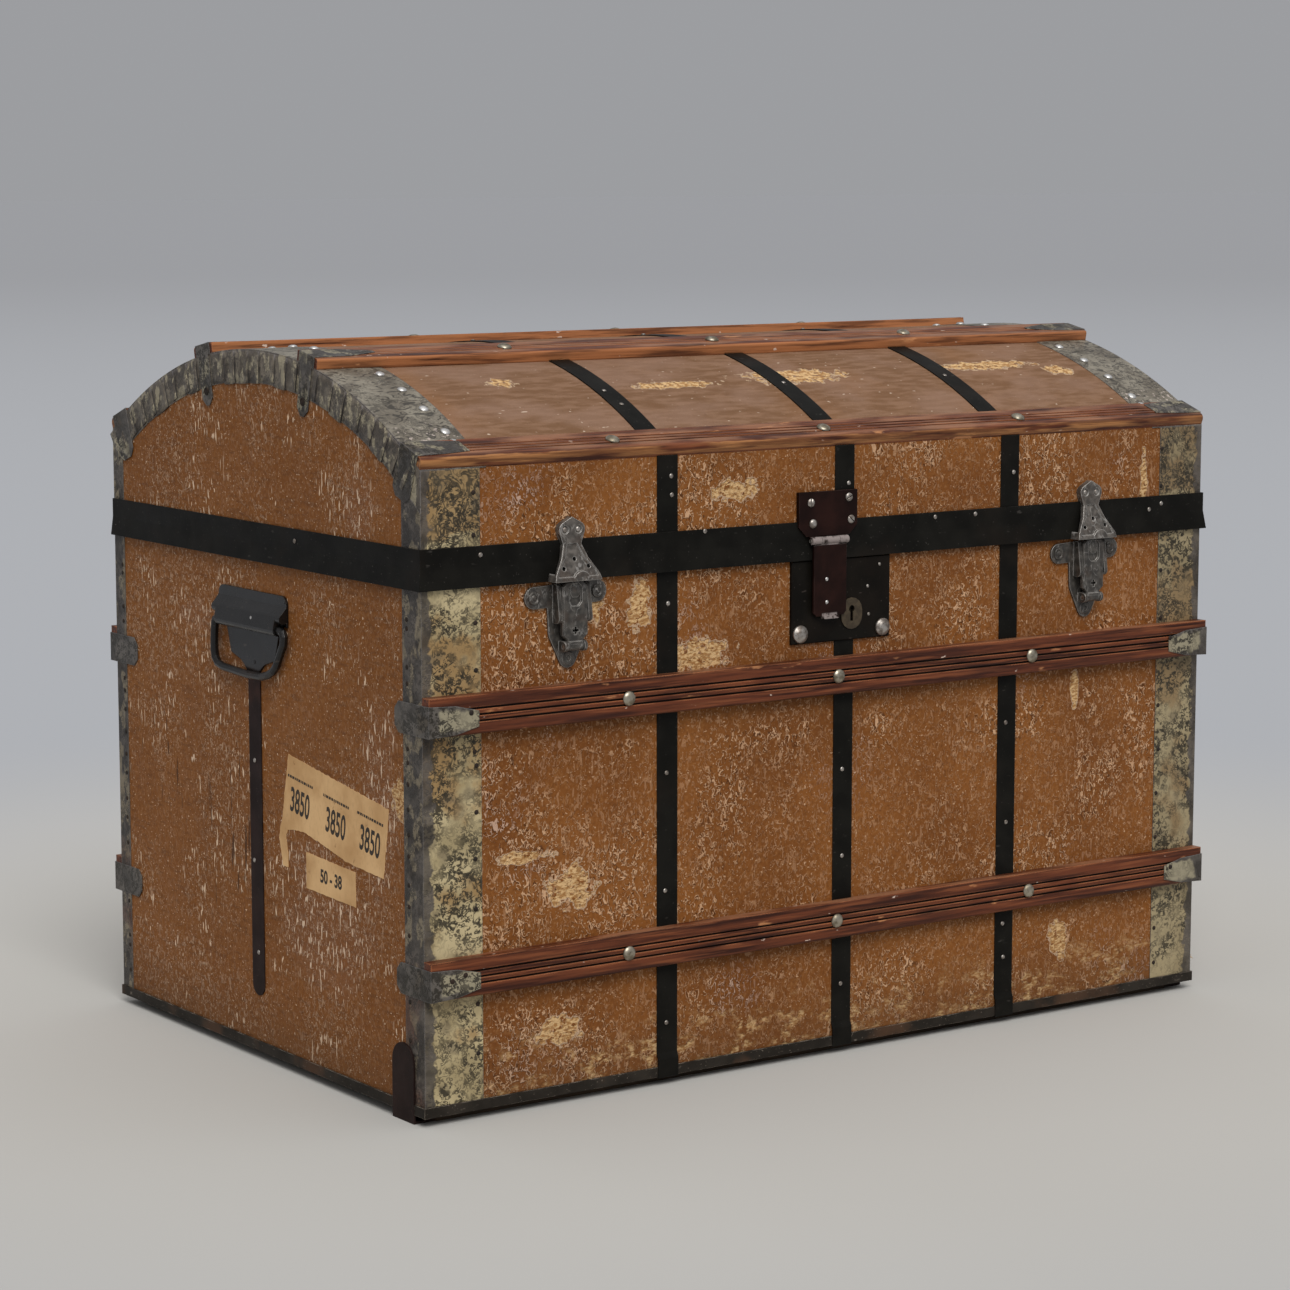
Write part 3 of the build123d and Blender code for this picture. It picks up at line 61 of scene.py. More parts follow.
# ---- Places read from the frame, and a few sizes of the solids ----
half_length, half_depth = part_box("body_canvas")[1].xy
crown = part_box("lid_canvas")[1].z
upper_slat_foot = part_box("front_upper_slat")[0].z
lower_slat_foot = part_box("front_lower_slat")[0].z
edge_slat_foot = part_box("front_edge_slat")[0].z
slat_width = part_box("front_upper_slat")[1].z - upper_slat_foot
clip_width = 25 * MM                # the clips' lower edges are level with those of their slats
dome_radius = 449.4 * MM
dome_centre = crown - dome_radius
top_slat_angle = 11.1               # from the crown, degrees
edge_slat_tilt = 20.0
tin_out, hoop_out, band_out = 0.6, 1.0, 2.5     # outer faces off the canvas, in millimetres
latch_x = 273.7
hoop_places = (-178, 3, 184)
hasp_hinge_z = 439
sides = (-1, 1)                     # left and right


def face_matrix(right, up, out, foot):
    """Matrix with its X, Y and Z along three directions."""
    return Matrix.Translation(foot) @ Matrix((right, up, out)).transposed().to_4x4()


def front(x, z, out):
    """Matrix standing on the front canvas, its Z out of the trunk and its Y up."""
    return face_matrix((1, 0, 0), (0, 0, 1), (0, -1, 0), (x * MM, -half_depth - out * MM, z * MM))


def back(x, z, out):
    """Matrix standing on the back canvas."""
    return face_matrix((-1, 0, 0), (0, 0, 1), (0, 1, 0), (x * MM, half_depth + out * MM, z * MM))


def end(side, y, z, out):
    """Matrix standing on an end of the trunk; side is -1 for the left end."""
    foot = (side * (half_length + out * MM), y * MM, z * MM)
    return face_matrix((0, side, 0), (0, 0, 1), (side, 0, 0), foot)


def dome(x, angle, out):
    """Matrix standing on the dome at an angle from the crown, negative towards the front."""
    turn = radians(angle)
    away = Vector((0, sin(turn), cos(turn)))
    along = Vector((1, 0, 0))
    foot = Vector((x * MM, 0, dome_centre)) + away * (dome_radius + out * MM)
    return face_matrix(along, away.cross(along), away, foot)


def placed(name, data):
    """New object in the scene."""
    item = bpy.data.objects.new(name, data)
    bpy.context.scene.collection.objects.link(item)
    return item


# ---- Node trees ----
class Field:
    """A value that varies over a surface: an output of a node, whose arithmetic adds Math nodes.

    Between masks, a * b is where both are, a | b where either is, and 1 - a where a isn't.
    """

    def __init__(self, paint, socket):
        self.paint = paint
        self.socket = socket

    def calc(self, operation, *others):
        return self.paint.add("Math", dict(enumerate((self, *others))), operation=operation)

    __add__ = partialmethod(calc, "ADD")
    __sub__ = partialmethod(calc, "SUBTRACT")
    __mul__ = partialmethod(calc, "MULTIPLY")
    __pow__ = partialmethod(calc, "POWER")
    __or__ = partialmethod(calc, "MAXIMUM")
    __and__ = partialmethod(calc, "MINIMUM")
    __abs__ = partialmethod(calc, "ABSOLUTE")

    def __rsub__(self, number):
        return self.paint.add("Math", {0: number, 1: self}, operation="SUBTRACT")

    def scaled(self, factor, offset):
        """The field times a factor, plus an offset."""
        return self.calc("MULTIPLY_ADD", factor, offset)

    def near(self, *values):
        """Distance from the nearest of some values."""
        return reduce(Field.__and__, [abs(self - value) for value in values])

    def span(self, low, high):
        """0 below low, 1 above high, smooth between; the other way round when low is above high."""
        inputs = {"Value": self, "From Min": min(low, high), "From Max": max(low, high),
                  "To Min": float(low > high), "To Max": float(low <= high)}
        return self.paint.add("MapRange", inputs, "Result", interpolation_type="SMOOTHSTEP")


class Paint:
    """A material whose color is laid on in coats, with short calls for the nodes that it needs."""

    def __init__(self, name, specular=0.5, metallic=0.0):
        self.material = bpy.data.materials.new(name)
        self.material.use_nodes = True
        self.tree = self.material.node_tree
        self.shader = self.tree.nodes["Principled BSDF"]
        self.shader.inputs["Metallic"].default_value = metallic
        self.shader.inputs["Specular IOR Level"].default_value = specular
        self.place = self.add("TexCoord", {}, "Object")
        self.x, self.y, self.z = self.parts(self.place)
        normal = self.add("TexCoord", {}, "Normal")
        self.normal_x, self.normal_y, self.normal_z = self.parts(normal)
        self.rounded = None

    def add(self, kind, inputs, output=0, **settings):
        """Add a node and return one of its outputs; inputs gives its sockets fields or values."""
        node = self.tree.nodes.new("ShaderNode" + kind)
        for key, value in settings.items():
            setattr(node, key, value)
        for key, value in inputs.items():
            self.feed(node.inputs[key], value)
        return Field(self, node.outputs[output])

    def feed(self, socket, value):
        """Link a field, or set a number, a vector or a color without its alpha."""
        if isinstance(value, Field):
            self.tree.links.new(value.socket, socket)
        else:
            socket.default_value = (*value, 1.0) if socket.type == "RGBA" else value

    def parts(self, vector):
        """The three parts of a vector."""
        node = self.tree.nodes.new("ShaderNodeSeparateXYZ")
        self.feed(node.inputs[0], vector)
        return [Field(self, output) for output in node.outputs]

    def noise(self, scale, detail=3, stretch=(1, 1, 1), shift=(0, 0, 0), distortion=0.0, roughness=0.5):
        place = self.add("Mapping", {"Vector": self.place, "Scale": stretch, "Location": shift})
        inputs = {"Vector": place, "Scale": scale, "Detail": detail, "Distortion": distortion,
                  "Roughness": roughness}
        return self.add("TexNoise", inputs, "Fac")

    def lines(self, scale, width, stretch, shift, distortion):
        """Thin wandering lines, where a bent noise passes its middle value."""
        return self.noise(scale, 1, stretch, shift, distortion).near(0.5).span(width, 0.35 * width)

    def curls(self, scale, width, stretch, shift, distortion):
        """Such lines broken into short strokes, and the narrow shade along one side of them."""
        gate = self.noise(0.8 * scale, 1, shift=(shift[1] + 5, shift[2] + 3, shift[0] + 8)).span(0.47, 0.55)
        field = self.noise(scale, 1, stretch, shift, distortion) - 0.5
        stroke = abs(field).span(width, 0.45 * width)
        shade = field.near(1.6 * width).span(0.8 * width, 0.3 * width)
        return stroke * gate, shade * gate

    def blots(self, blots, scale, rough):
        """Ragged blots, each a centre and its half sizes: the value is below 1 inside the nearest."""
        distances = []
        for centre, reach in blots:
            away = self.add("VectorMath", {0: self.place, 1: centre}, operation="SUBTRACT")
            away = self.add("VectorMath", {0: away, 1: reach}, operation="DIVIDE")
            distances.append(self.add("VectorMath", {0: away}, "Value", operation="LENGTH"))
        return reduce(Field.__and__, distances) + self.noise(scale, 4).scaled(2 * rough, -rough)

    def edges(self, radius, samples=4):
        """1 on convex edges, from how far a rounded normal leans from the face's own."""
        self.rounded = self.add("Bevel", {"Radius": radius}, samples=samples)
        inputs = {0: self.rounded, 1: self.add("NewGeometry", {}, "Normal")}
        return self.add("VectorMath", inputs, "Value", operation="DOT_PRODUCT").span(0.97, 0.8)

    def mix(self, factor, first, second):
        """The first color where factor is 0, the second where it is 1."""
        return self.add("Mix", {0: factor, 6: first, 7: second}, 2, data_type="RGBA")

    def coat(self, mask, color):
        """Lay a color over what is there already."""
        self.color = self.mix(mask, self.color, color)

    def finish(self, roughness, height=None, strength=0.0, distance=0.0):
        """Connect the shader, with a bump from a height field, on rounded edges where they were asked for."""
        self.feed(self.shader.inputs["Base Color"], self.color)
        self.feed(self.shader.inputs["Roughness"], roughness)
        if height is not None:
            inputs = {"Height": height, "Strength": strength, "Distance": distance}
            if self.rounded is not None:
                inputs["Normal"] = self.rounded
            self.feed(self.shader.inputs["Normal"], self.add("Bump", inputs))
        return self.material


# ---- Canvas ----
def blots_on(axis, *blots):
    """Blots on faces across an axis, from X, Y, Z and the two half sizes on the face, in millimetres."""
    depth = 30
    for x, y, z, *reach in blots:
        reach.insert(axis, depth)
        yield Vector((x, y, z)) * MM, Vector(reach) * MM


# where the paint has gone down to the fibre
bare_blots = [
    *blots_on(1, (-320, -257, 205, 24, 5), (-271, -257, 177, 21, 16), (-283, -257, 60, 19, 11),
              (-145, -257, 352, 30, 12), (-110, -257, 485, 22, 8), (-253, -257, 401, 12, 14),
              (-205, -257, 398, 10, 18), (263, -257, 289, 4, 17), (248, -257, 68, 10, 16),
              (341, -257, 470, 4, 22)),
    *blots_on(2, (-265, -147, 572, 12, 8), (-104, -164, 565, 40, 6), (28, -157, 568, 52, 12),
              (245, -153, 570, 50, 8), (316, -168, 563, 14, 8)),
    *blots_on(0, (-409, -224, 256, 12, 14)),
    *blots_on(1, (120, 257, 220, 26, 14), (-290, 257, 350, 18, 12)),
    *blots_on(0, (409, 110, 190, 16, 22)),
    *blots_on(2, (50, 180, 558, 50, 10)),
]
# drifts of dust and of flecks that stand out, and patches of cracks, on the ends
dust_blots = [*blots_on(0, (-409, -105, 125, 80, 55), (-409, -85, 178, 40, 26), (-409, 115, 366, 30, 14),
                        (-409, -190, 250, 30, 90), (-409, -165, 480, 30, 40), (409, -120, 140, 70, 60),
                        (409, 130, 380, 50, 40))]
crack_blots = [*blots_on(0, (-409, 175, 235, 75, 45), (-409, 50, 180, 60, 90), (409, -120, 260, 80, 60))]
weave_pitch = 1.5 * MM


def canvas_paint():
    """Orange-brown painted canvas: curls of lifted paint, dust on top, worn to the fibre in places."""
    cloth = Paint("painted_canvas", specular=0.12)
    on_end = abs(cloth.normal_x).span(0.4, 0.7)
    upward = cloth.normal_z.span(0.25, 0.75)
    mottle = cloth.noise(8, 5)
    grain = cloth.noise(380, 3)
    cloth.color = cloth.mix(mottle.span(0.34, 0.66), (0.166, 0.056, 0.0118), (0.226, 0.081, 0.0178))
    cloth.coat(on_end * 0.6, (0.222, 0.08, 0.0165))
    cloth.coat(grain.span(0.5, 0.78) * 0.45, (0.34, 0.165, 0.062))
    cloth.coat(grain.span(0.48, 0.24) * 0.4, (0.09, 0.032, 0.01))

    # curls of lifted paint, in drifts and few under the slats, and upright flecks on the ends
    dusty = cloth.blots(dust_blots, 26, 0.75).span(1.15, 0.55)
    drift = cloth.noise(15, 4, (1, 1, 0.7), (3.1, 1.7, 0.4)).span(0.42, 0.6) | dusty
    under_upper = cloth.z.near(upper_slat_foot - 10.5 * MM).span(0.016, 0.006)
    under_lower = cloth.z.near(lower_slat_foot - 10 * MM).span(0.014, 0.006)
    drift *= 1 - (under_upper | under_lower) * 0.85
    broad_curls, broad_shade = cloth.curls(165, 0.04, (1, 1, 0.6), (4, 1, 2), 0.9)
    fine_curls, fine_shade = cloth.curls(290, 0.046, (1, 1, 0.6), (1, 6, 3), 0.7)
    off_top = 1 - upward * 0.9
    amount = drift.scaled(0.62, 0.26) * (1 - on_end * 0.62) * off_top
    shade = (broad_shade | fine_shade) * amount
    crowd = cloth.noise(21, 3, shift=(7, 2, 2)).span(0.53, 0.6) | dusty
    upright = cloth.noise(330, 1, (1, 1, 0.27), (0, 3, 7)).span(0.632, 0.648) * crowd * off_top
    upright *= on_end.scaled(0.75, 0.25)
    specks = cloth.noise(400, 1, (1, 1, 1.3), (2, 2, 9)).span(0.685, 0.73) * 0.8
    flecks = (broad_curls | fine_curls) * amount | upright | specks
    mauve = cloth.noise(9, 3, shift=(5, 2, 8)).span(0.58, 0.7) | dusty
    pale = cloth.mix(mauve * 0.75, (0.62, 0.385, 0.225), (0.5, 0.36, 0.3))
    pale = cloth.mix(on_end * 0.8, pale, (0.76, 0.57, 0.4))
    threads = cloth.noise(330, 2, (0.16, 0.16, 1), (3, 3, 8)).span(0.56, 0.66) * on_end
    cloth.coat(threads * 0.4, (0.115, 0.042, 0.012))
    cloth.coat(dusty * 0.1, (0.3, 0.17, 0.125))
    cloth.coat(shade * 0.85, (0.048, 0.016, 0.005))
    cloth.coat(flecks * 0.92, pale)

    # fine upright cracks on the ends
    cracked = cloth.blots(crack_blots, 30, 0.6).span(1.2, 0.6)
    cracks = cloth.noise(170, 1, (1, 1, 0.13), (2, 8, 4)).span(0.665, 0.72) * cracked
    cloth.coat(cracks * 0.75, (0.05, 0.02, 0.008))

    # dusty film over the dome, drawn out along it
    brushed = cloth.noise(210, 4, (0.22, 1, 1), (2, 2, 5)).span(0.38, 0.66)
    film = cloth.mix(brushed, (0.16, 0.087, 0.047), (0.228, 0.134, 0.083))
    blotches = cloth.noise(22, 5, (0.6, 1, 1), (6, 2, 5)).span(0.44, 0.64)
    film = cloth.mix(blotches * 0.55, film, (0.262, 0.165, 0.118))
    film = cloth.mix(mottle.span(0.5, 0.7) * 0.45, film, (0.225, 0.108, 0.046))
    cloth.coat(upward * 0.86, film)
    top_specks = cloth.noise(300, 1, (0.6, 1, 1), (1, 9, 2)).span(0.735, 0.78) * upward
    cloth.coat(top_specks * 0.8, (0.56, 0.44, 0.34))

    # bare fibre with a pale rim, and a worn hem
    depth = cloth.blots(bare_blots, 115, 1.05)
    crumbs = (cloth.noise(210, 4, shift=(4, 9, 4)) | cloth.noise(380, 3, (0.5, 1, 1))).span(0.43, 0.51)
    rim = depth.near(1.03).span(0.1, 0.03) * crumbs
    hem = cloth.z.span(0.074, 0.026) * cloth.noise(24, 5, (1, 1, 2)).span(0.45, 0.6)
    hem *= cloth.noise(150, 3, (1, 1, 1.4)).span(0.44, 0.58)
    bare = depth.span(1.0, 0.9) * crumbs | hem * (1 - on_end)
    thread = cloth.noise(560, 3, (0.45, 0.6, 1), (4, 4, 4)).span(0.4, 0.6)
    cloth.coat(bare * 0.88, cloth.mix(thread, (0.36, 0.185, 0.065), (0.68, 0.455, 0.225)))
    cloth.coat(rim * 0.62, (0.62, 0.46, 0.31))

    # darker towards the floor, over the lowest 75 mm
    cloth.coat(cloth.z.span(0.075, 0.0) * mottle.scaled(0.6, 0.1), (0.07, 0.036, 0.018))

    turns_per_metre = 2 * pi / weave_pitch
    weave = ((cloth.x + cloth.y) * turns_per_metre).calc("SINE") * (cloth.z * turns_per_metre).calc("SINE")
    height = cloth.noise(85, 4).scaled(1.3, weave.scaled(0.12, flecks * 2.0))
    height = rim.scaled(0.6, bare.scaled(-1.0, height))
    return cloth.finish(upward.scaled(0.2, cloth.noise(40, 3).scaled(0.25, 0.45)), height, 0.6, 0.0009)


# ---- Tin ----
def tin_flaws(tin, crowd_shift):
    """Dark wriggles, pits and clouds of old tinplate, as three masks."""
    crowd = tin.noise(30, 3, shift=crowd_shift).span(0.32, 0.56)
    broad, _ = tin.curls(135, 0.085, (1, 1, 1), (1, 2, 3), 1.5)
    fine, _ = tin.curls(235, 0.1, (1, 1, 1.2), (7, 2, 6), 1.0)
    pits = tin.noise(230, 3, shift=(9, 2, 3)).span(0.555, 0.61) * crowd
    clouds = tin.noise(42, 6, shift=(2, 7, 5)).span(0.54, 0.66)
    return (broad | fine) * crowd.scaled(0.8, 0.2), pits, clouds


def corner_tin_paint():
    """Tin round the upright corners: cream lacquer on the front, amber in places, slate grey on the ends."""
    tin = Paint("corner_tin", 0.25, metallic=0.1)
    wriggles, pits, clouds = tin_flaws(tin, (8, 3, 3))
    tin.color = tin.mix(tin.noise(26, 4, shift=(4, 4, 1)).span(0.36, 0.64),
                        (0.345, 0.275, 0.148), (0.53, 0.436, 0.25))
    # warmer above and below the upper slat, and on the lid
    warm = (tin.z.near(0.355).span(0.045, 0.02) * 0.13 | tin.z.span(0.452, 0.47) * 0.2
            | tin.z.near(0.283).span(0.03, 0.012) * 0.12)
    amber = (tin.noise(19, 4, shift=(9, 1, 3)) + warm).span(0.54, 0.64)
    tin.coat(amber * 0.75, (0.29, 0.165, 0.058))
    on_lid = tin.z.span(0.452, 0.462)
    tin.coat(on_lid * tin.noise(34, 4, shift=(1, 3, 8)).span(0.3, 0.55) * 0.26, (0.135, 0.086, 0.04))
    swirls = tin.lines(85, 0.075, (1, 1, 0.8), (6, 3, 1), 2.0) * on_lid
    tin.coat(swirls * 0.8, (0.032, 0.028, 0.02))
    on_right = tin.x.span(-0.1, 0.1)
    tin.coat(on_right * 0.5, (0.165, 0.125, 0.075))
    tin.coat(clouds * 0.55, (0.135, 0.106, 0.068))
    tin.coat(pits * 0.86, (0.044, 0.036, 0.023))
    tin.coat(wriggles * 0.92, (0.03, 0.025, 0.016))

    # rubbed to grey metal along the corner, with a ragged boundary
    ragged = tin.noise(95, 4, shift=(3, 3, 3)).scaled(0.022, -0.011)
    margin = (abs(tin.x) + ragged).span(half_length - 8.5 * MM, half_length - 6 * MM)
    slate = tin.mix(tin.noise(60, 5).span(0.35, 0.65), (0.04, 0.034, 0.029), (0.11, 0.094, 0.08))
    tin.coat(margin * 0.9, slate)

    # the ends: slate grey, flakes of cream left round the nails, rust low down
    flakes = tin.noise(80, 5, (1, 1, 0.6), (6, 6, 1)).span(0.525, 0.56)
    grey = tin.mix(flakes * 0.7, slate, (0.25, 0.205, 0.135))
    rust = tin.noise(20, 4, shift=(2, 2, 2)).span(0.46, 0.62) * tin.z.span(0.24, 0.05)
    grey = tin.mix(rust * 0.65, grey, (0.115, 0.048, 0.028))
    grey = tin.mix((wriggles | pits) * 0.75, grey, (0.03, 0.026, 0.023))
    tin.coat(abs(tin.normal_x).span(0.5, 0.8), grey)
    tin.coat(tin.edges(0.0012) * 0.45, (0.3, 0.285, 0.285))
    height = (wriggles | pits).scaled(-1.0, tin.noise(22, 3))
    return tin.finish(clouds.scaled(0.25, 0.42), height, 0.5, 0.0008)


def dome_tin_paint():
    """Tin on the dome's ends: greenish grey above with fine scratches, darker pleats on the ends."""
    tin = Paint("dome_tin", 0.25, metallic=0.15)
    wriggles, pits, clouds = tin_flaws(tin, (1, 8, 4))
    tin.color = tin.mix(tin.noise(32, 4, shift=(4, 7, 1)).span(0.36, 0.64),
                        (0.16, 0.138, 0.106), (0.265, 0.238, 0.188))
    tin.coat(clouds * 0.45, (0.11, 0.098, 0.08))
    scratches = tin.lines(120, 0.06, (0.45, 1, 1), (2, 2, 4), 1.0)
    scratches *= tin.noise(110, 2, shift=(6, 3, 2)).span(0.42, 0.52)
    tin.coat((scratches | wriggles * 0.7) * 0.85, (0.036, 0.032, 0.026))
    beside_edge_slats = abs(tin.y).near(0.232).span(0.035, 0.012)
    litter = tin.noise(240, 2, shift=(3, 1, 1)).span(0.6, 0.68) * beside_edge_slats
    tin.coat(litter * 0.8, (0.5, 0.42, 0.37))

    pleat = tin.mix(tin.noise(55, 5, shift=(5, 1, 1)).span(0.36, 0.64),
                    (0.09, 0.074, 0.058), (0.185, 0.156, 0.118))
    flakes = tin.noise(95, 5, (1, 1, 0.6), (2, 6, 1)).span(0.515, 0.56)
    pleat = tin.mix(flakes * 0.8, pleat, (0.38, 0.33, 0.225))
    pleat = tin.mix((wriggles | pits) * 0.7, pleat, (0.036, 0.031, 0.026))
    tin.coat(abs(tin.normal_x).span(0.45, 0.75), pleat)
    worn = tin.edges(0.0016) * tin.noise(60, 3).span(0.25, 0.55)
    tin.coat(worn * 0.62, (0.255, 0.235, 0.25))
    height = (scratches | wriggles).scaled(-0.8, tin.noise(24, 3))
    return tin.finish(clouds.scaled(0.22, 0.42), height, 0.5, 0.0008)


def clip_tin_paint(name, cream_amount, middles=()):
    """Clips folded over the slats' ends: grey, flaked cream in their centre or, without middles, all over."""
    tin = Paint(name, 0.25, metallic=0.15)
    wriggles, pits, clouds = tin_flaws(tin, (4, 4, 9))
    tin.color = tin.mix(tin.noise(50, 5, shift=(4, 7, 1)).span(0.36, 0.64),
                        (0.048, 0.042, 0.037), (0.12, 0.106, 0.092))
    if middles:
        ragged = tin.noise(120, 4, shift=(3, 5, 3)).scaled(0.01, -0.005)
        cream = (abs(tin.x) + ragged).span(half_length - 6 * MM, half_length - 10 * MM)
        cream *= (tin.z.near(*middles) + ragged).span(9.5 * MM, 6.5 * MM)
    else:
        cream = tin.noise(60, 5, (1, 1, 0.8), (2, 1, 1)).span(0.52, 0.58)
    tin.coat(cream * cream_amount, (0.345, 0.305, 0.205))
    tin.coat(clouds * 0.5, (0.11, 0.09, 0.064))
    tin.coat((wriggles | pits) * 0.92, (0.028, 0.024, 0.018))
    tin.coat(tin.edges(0.0012) * 0.5, (0.27, 0.26, 0.26))
    return tin.finish(clouds.scaled(0.25, 0.4), wriggles.scaled(-0.8, tin.noise(40, 3)), 0.5, 0.0008)


# ---- Iron ----
def toned(color, factor):
    """A color made lighter or darker."""
    return tuple(factor * value for value in color)


def iron_paint(name, base, worn, rust, roughness=0.48, rusty=0.3, wear=0.5, specular=0.07):
    """Black japanned iron, dulled, with rust blooms, dust specks and rubbed edges."""
    iron = Paint(name, specular)
    mottle = iron.noise(45, 5)
    iron.color = iron.mix(mottle.span(0.35, 0.7), base, toned(base, 1.7))
    iron.coat(iron.noise(17, 6, shift=(3, 8, 1)).span(0.54, 0.68) * rusty, rust)
    dust = iron.noise(520, 1, shift=(1, 1, 6)).span(0.715, 0.77) * 0.35
    scuffs = iron.noise(230, 2, (0.35, 0.35, 1)).span(0.69, 0.78) * 0.3
    iron.coat(scuffs | dust, worn)
    iron.coat(iron.edges(0.0008) * iron.noise(70, 3).span(0.4, 0.62) * wear, worn)
    height = iron.noise(420, 2).scaled(0.3, mottle)
    return iron.finish(iron.noise(30, 4).scaled(0.3, roughness - 0.15), height, 0.25, 0.0006)


def maroon_paint():
    """Maroon-brown iron of the hasp, its hinge and the strap's lip rubbed to silver."""
    iron = Paint("maroon_iron", specular=0.08)
    mottle = iron.noise(45, 5)
    iron.color = iron.mix(mottle.span(0.35, 0.7), (0.0095, 0.0038, 0.003), (0.0205, 0.0074, 0.0055))
    iron.coat(iron.edges(0.0008) * iron.noise(70, 3).span(0.4, 0.62) * 0.3, (0.17, 0.11, 0.1))
    hinge = iron.z.near(hasp_hinge_z * MM).span(4.2 * MM, 3.4 * MM)
    hinge *= abs(iron.y).span(half_depth + 5.2 * MM, half_depth + 6.2 * MM)
    hinge *= iron.noise(160, 3).span(0.3, 0.5)
    lip = iron.z.span(379.0 * MM, 377.5 * MM) * iron.x.near(-17.5 * MM).span(8.5 * MM, 7 * MM)
    lip *= iron.noise(240, 3).span(0.36, 0.52)
    iron.coat((hinge | lip) * 0.85, (0.29, 0.245, 0.23))
    return iron.finish(iron.noise(30, 4).scaled(0.3, 0.26), mottle, 0.25, 0.0006)


def cast_paint(name, base, worn):
    """Cast fittings: brown-grey and mottled in the hollows, bright where hands have rubbed the edges."""
    cast = Paint(name, metallic=0.35)
    mottle = cast.noise(190, 5)
    cast.color = cast.mix(mottle.span(0.35, 0.68), base, toned(base, 2.3))
    cast.coat(cast.noise(75, 4, shift=(5, 9, 1)).span(0.5, 0.68) * 0.5, (0.07, 0.046, 0.032))
    scratches = cast.lines(210, 0.045, (1, 1, 0.5), (3, 3, 1), 0.8) * cast.noise(90, 2).span(0.47, 0.6)
    cast.coat(scratches * 0.45, worn)
    cast.coat(cast.edges(0.0015, 6) * cast.noise(130, 3).span(0.15, 0.45) * 0.92, worn)
    height = cast.noise(600, 2).scaled(0.3, mottle)
    return cast.finish(mottle.scaled(0.3, 0.24), height, 0.4, 0.0005)


# ---- Wood ----
def slat_paint(name, slat_height, groove_floor, outward):
    """Red-brown varnished slats, scuffed to orange, with painted shade in the grooves.

    slat_height gives how far a point stands off the canvas, groove_floor where the grooves end, and
    outward which slats they are: on a wall, on top, or at the lid's edge, with a rubbed nose and a painted
    highlight.
    """
    wood = Paint(name, specular=0.22)
    grain = wood.noise(9, 6, (1.0, 26, 26), roughness=0.65)
    streak = wood.noise(30, 4, (0.5, 12, 12), (3, 3, 3))
    wood.color = wood.mix(grain.span(0.34, 0.64), (0.031, 0.007, 0.003), (0.13, 0.034, 0.0125))
    wood.coat(streak.span(0.5, 0.68) * 0.5, (0.26, 0.082, 0.03))
    if outward == "top":
        # side faces of the top slats lightened to orange: partly worn wood, partly painted light
        side = abs(wood.normal_y).span(0.5, 0.8) * grain.span(0.3, 0.56)
        wood.coat(side * 0.68, (0.48, 0.19, 0.072))
    dark = wood.noise(14, 5, (0.7, 9, 9), (8, 3, 3)).span(0.52, 0.66)
    wood.coat(dark * 0.6, (0.036, 0.01, 0.0055))
    edge = wood.edges(0.0018) * wood.noise(24, 5, (1, 3, 3), (2, 1, 6)).span(0.36, 0.56)
    wood.coat(edge * 0.78, (0.48, 0.175, 0.07))
    scrape = wood.noise(20, 6, (1, 4, 4), (6, 1, 2)).span(0.665, 0.72)
    wood.coat(scrape * 0.75, (0.52, 0.23, 0.095))
    chips = wood.noise(105, 3, (0.7, 1.5, 1.5), (9, 1, 2)).span(0.715, 0.75)
    wood.coat(chips * 0.85, (0.66, 0.52, 0.43))
    if outward == "wall":
        across = wood.z.near(upper_slat_foot + slat_width / 2, lower_slat_foot + slat_width / 2)
        facing = abs(wood.normal_y).span(0.5, 0.8) | across.span(7.0 * MM, 6.3 * MM)
    else:
        facing = abs(wood.normal_z).span(0.5, 0.8)
    # painted shade: the floors of the grooves darkened nearly to black
    groove_shade = slat_height(wood).span(groove_floor + 1.8 * MM, groove_floor + 0.9 * MM) * facing
    wood.coat(groove_shade * 0.97, (0.006, 0.0026, 0.0018))
    dusty = wood.normal_z.span(0.55, 0.95) * wood.noise(35, 5, (0.4, 2, 2)).span(0.42, 0.64)
    wood.coat(dusty * (1 - groove_shade) * 0.42, (0.44, 0.22, 0.118))
    if outward == "edge":
        # the nose's golden band: wood rubbed bare, and a painted highlight along its rounded middle
        ragged = wood.noise(60, 5, (0.5, 1, 1), (1, 4, 2)).scaled(0.01, -0.005)
        out = abs(wood.y) + (0.525 - wood.z) * 0.8 + ragged
        rubbed = out.span(half_depth - 0.5 * MM, half_depth + 1.5 * MM)
        rubbed *= wood.noise(45, 4, (0.3, 3, 3), (5, 4, 2)).span(0.36, 0.52)
        rubbed *= wood.z.span(0.5163, 0.5185)
        bare = wood.mix(grain.span(0.36, 0.62), (0.145, 0.052, 0.017), (0.4, 0.18, 0.063))
        bare = wood.mix(streak.span(0.52, 0.62) * 0.8, bare, (0.11, 0.042, 0.015))
        wood.coat(rubbed * 0.88, bare)
    height = scrape.scaled(-0.8, grain + streak * 0.5)
    return wood.finish(wood.noise(60, 3, (1, 4, 4)).scaled(0.35, 0.24), height, 0.5, 0.0008)


def off_the_wall(wood):
    """How far a point stands in front of the front or back canvas."""
    return abs(wood.y) - half_depth


def off_the_dome(wood):
    """How far a point stands above the dome."""
    square = wood.y ** 2.0 + (wood.z - dome_centre) ** 2.0
    return square.calc("SQRT") - dome_radius


def above_the_edge(wood):
    """How far a point stands above the underside of the edge slats, at their tilt."""
    turn = radians(edge_slat_tilt)
    return (wood.z - edge_slat_foot) * cos(turn) + (abs(wood.y) - half_depth) * sin(turn)


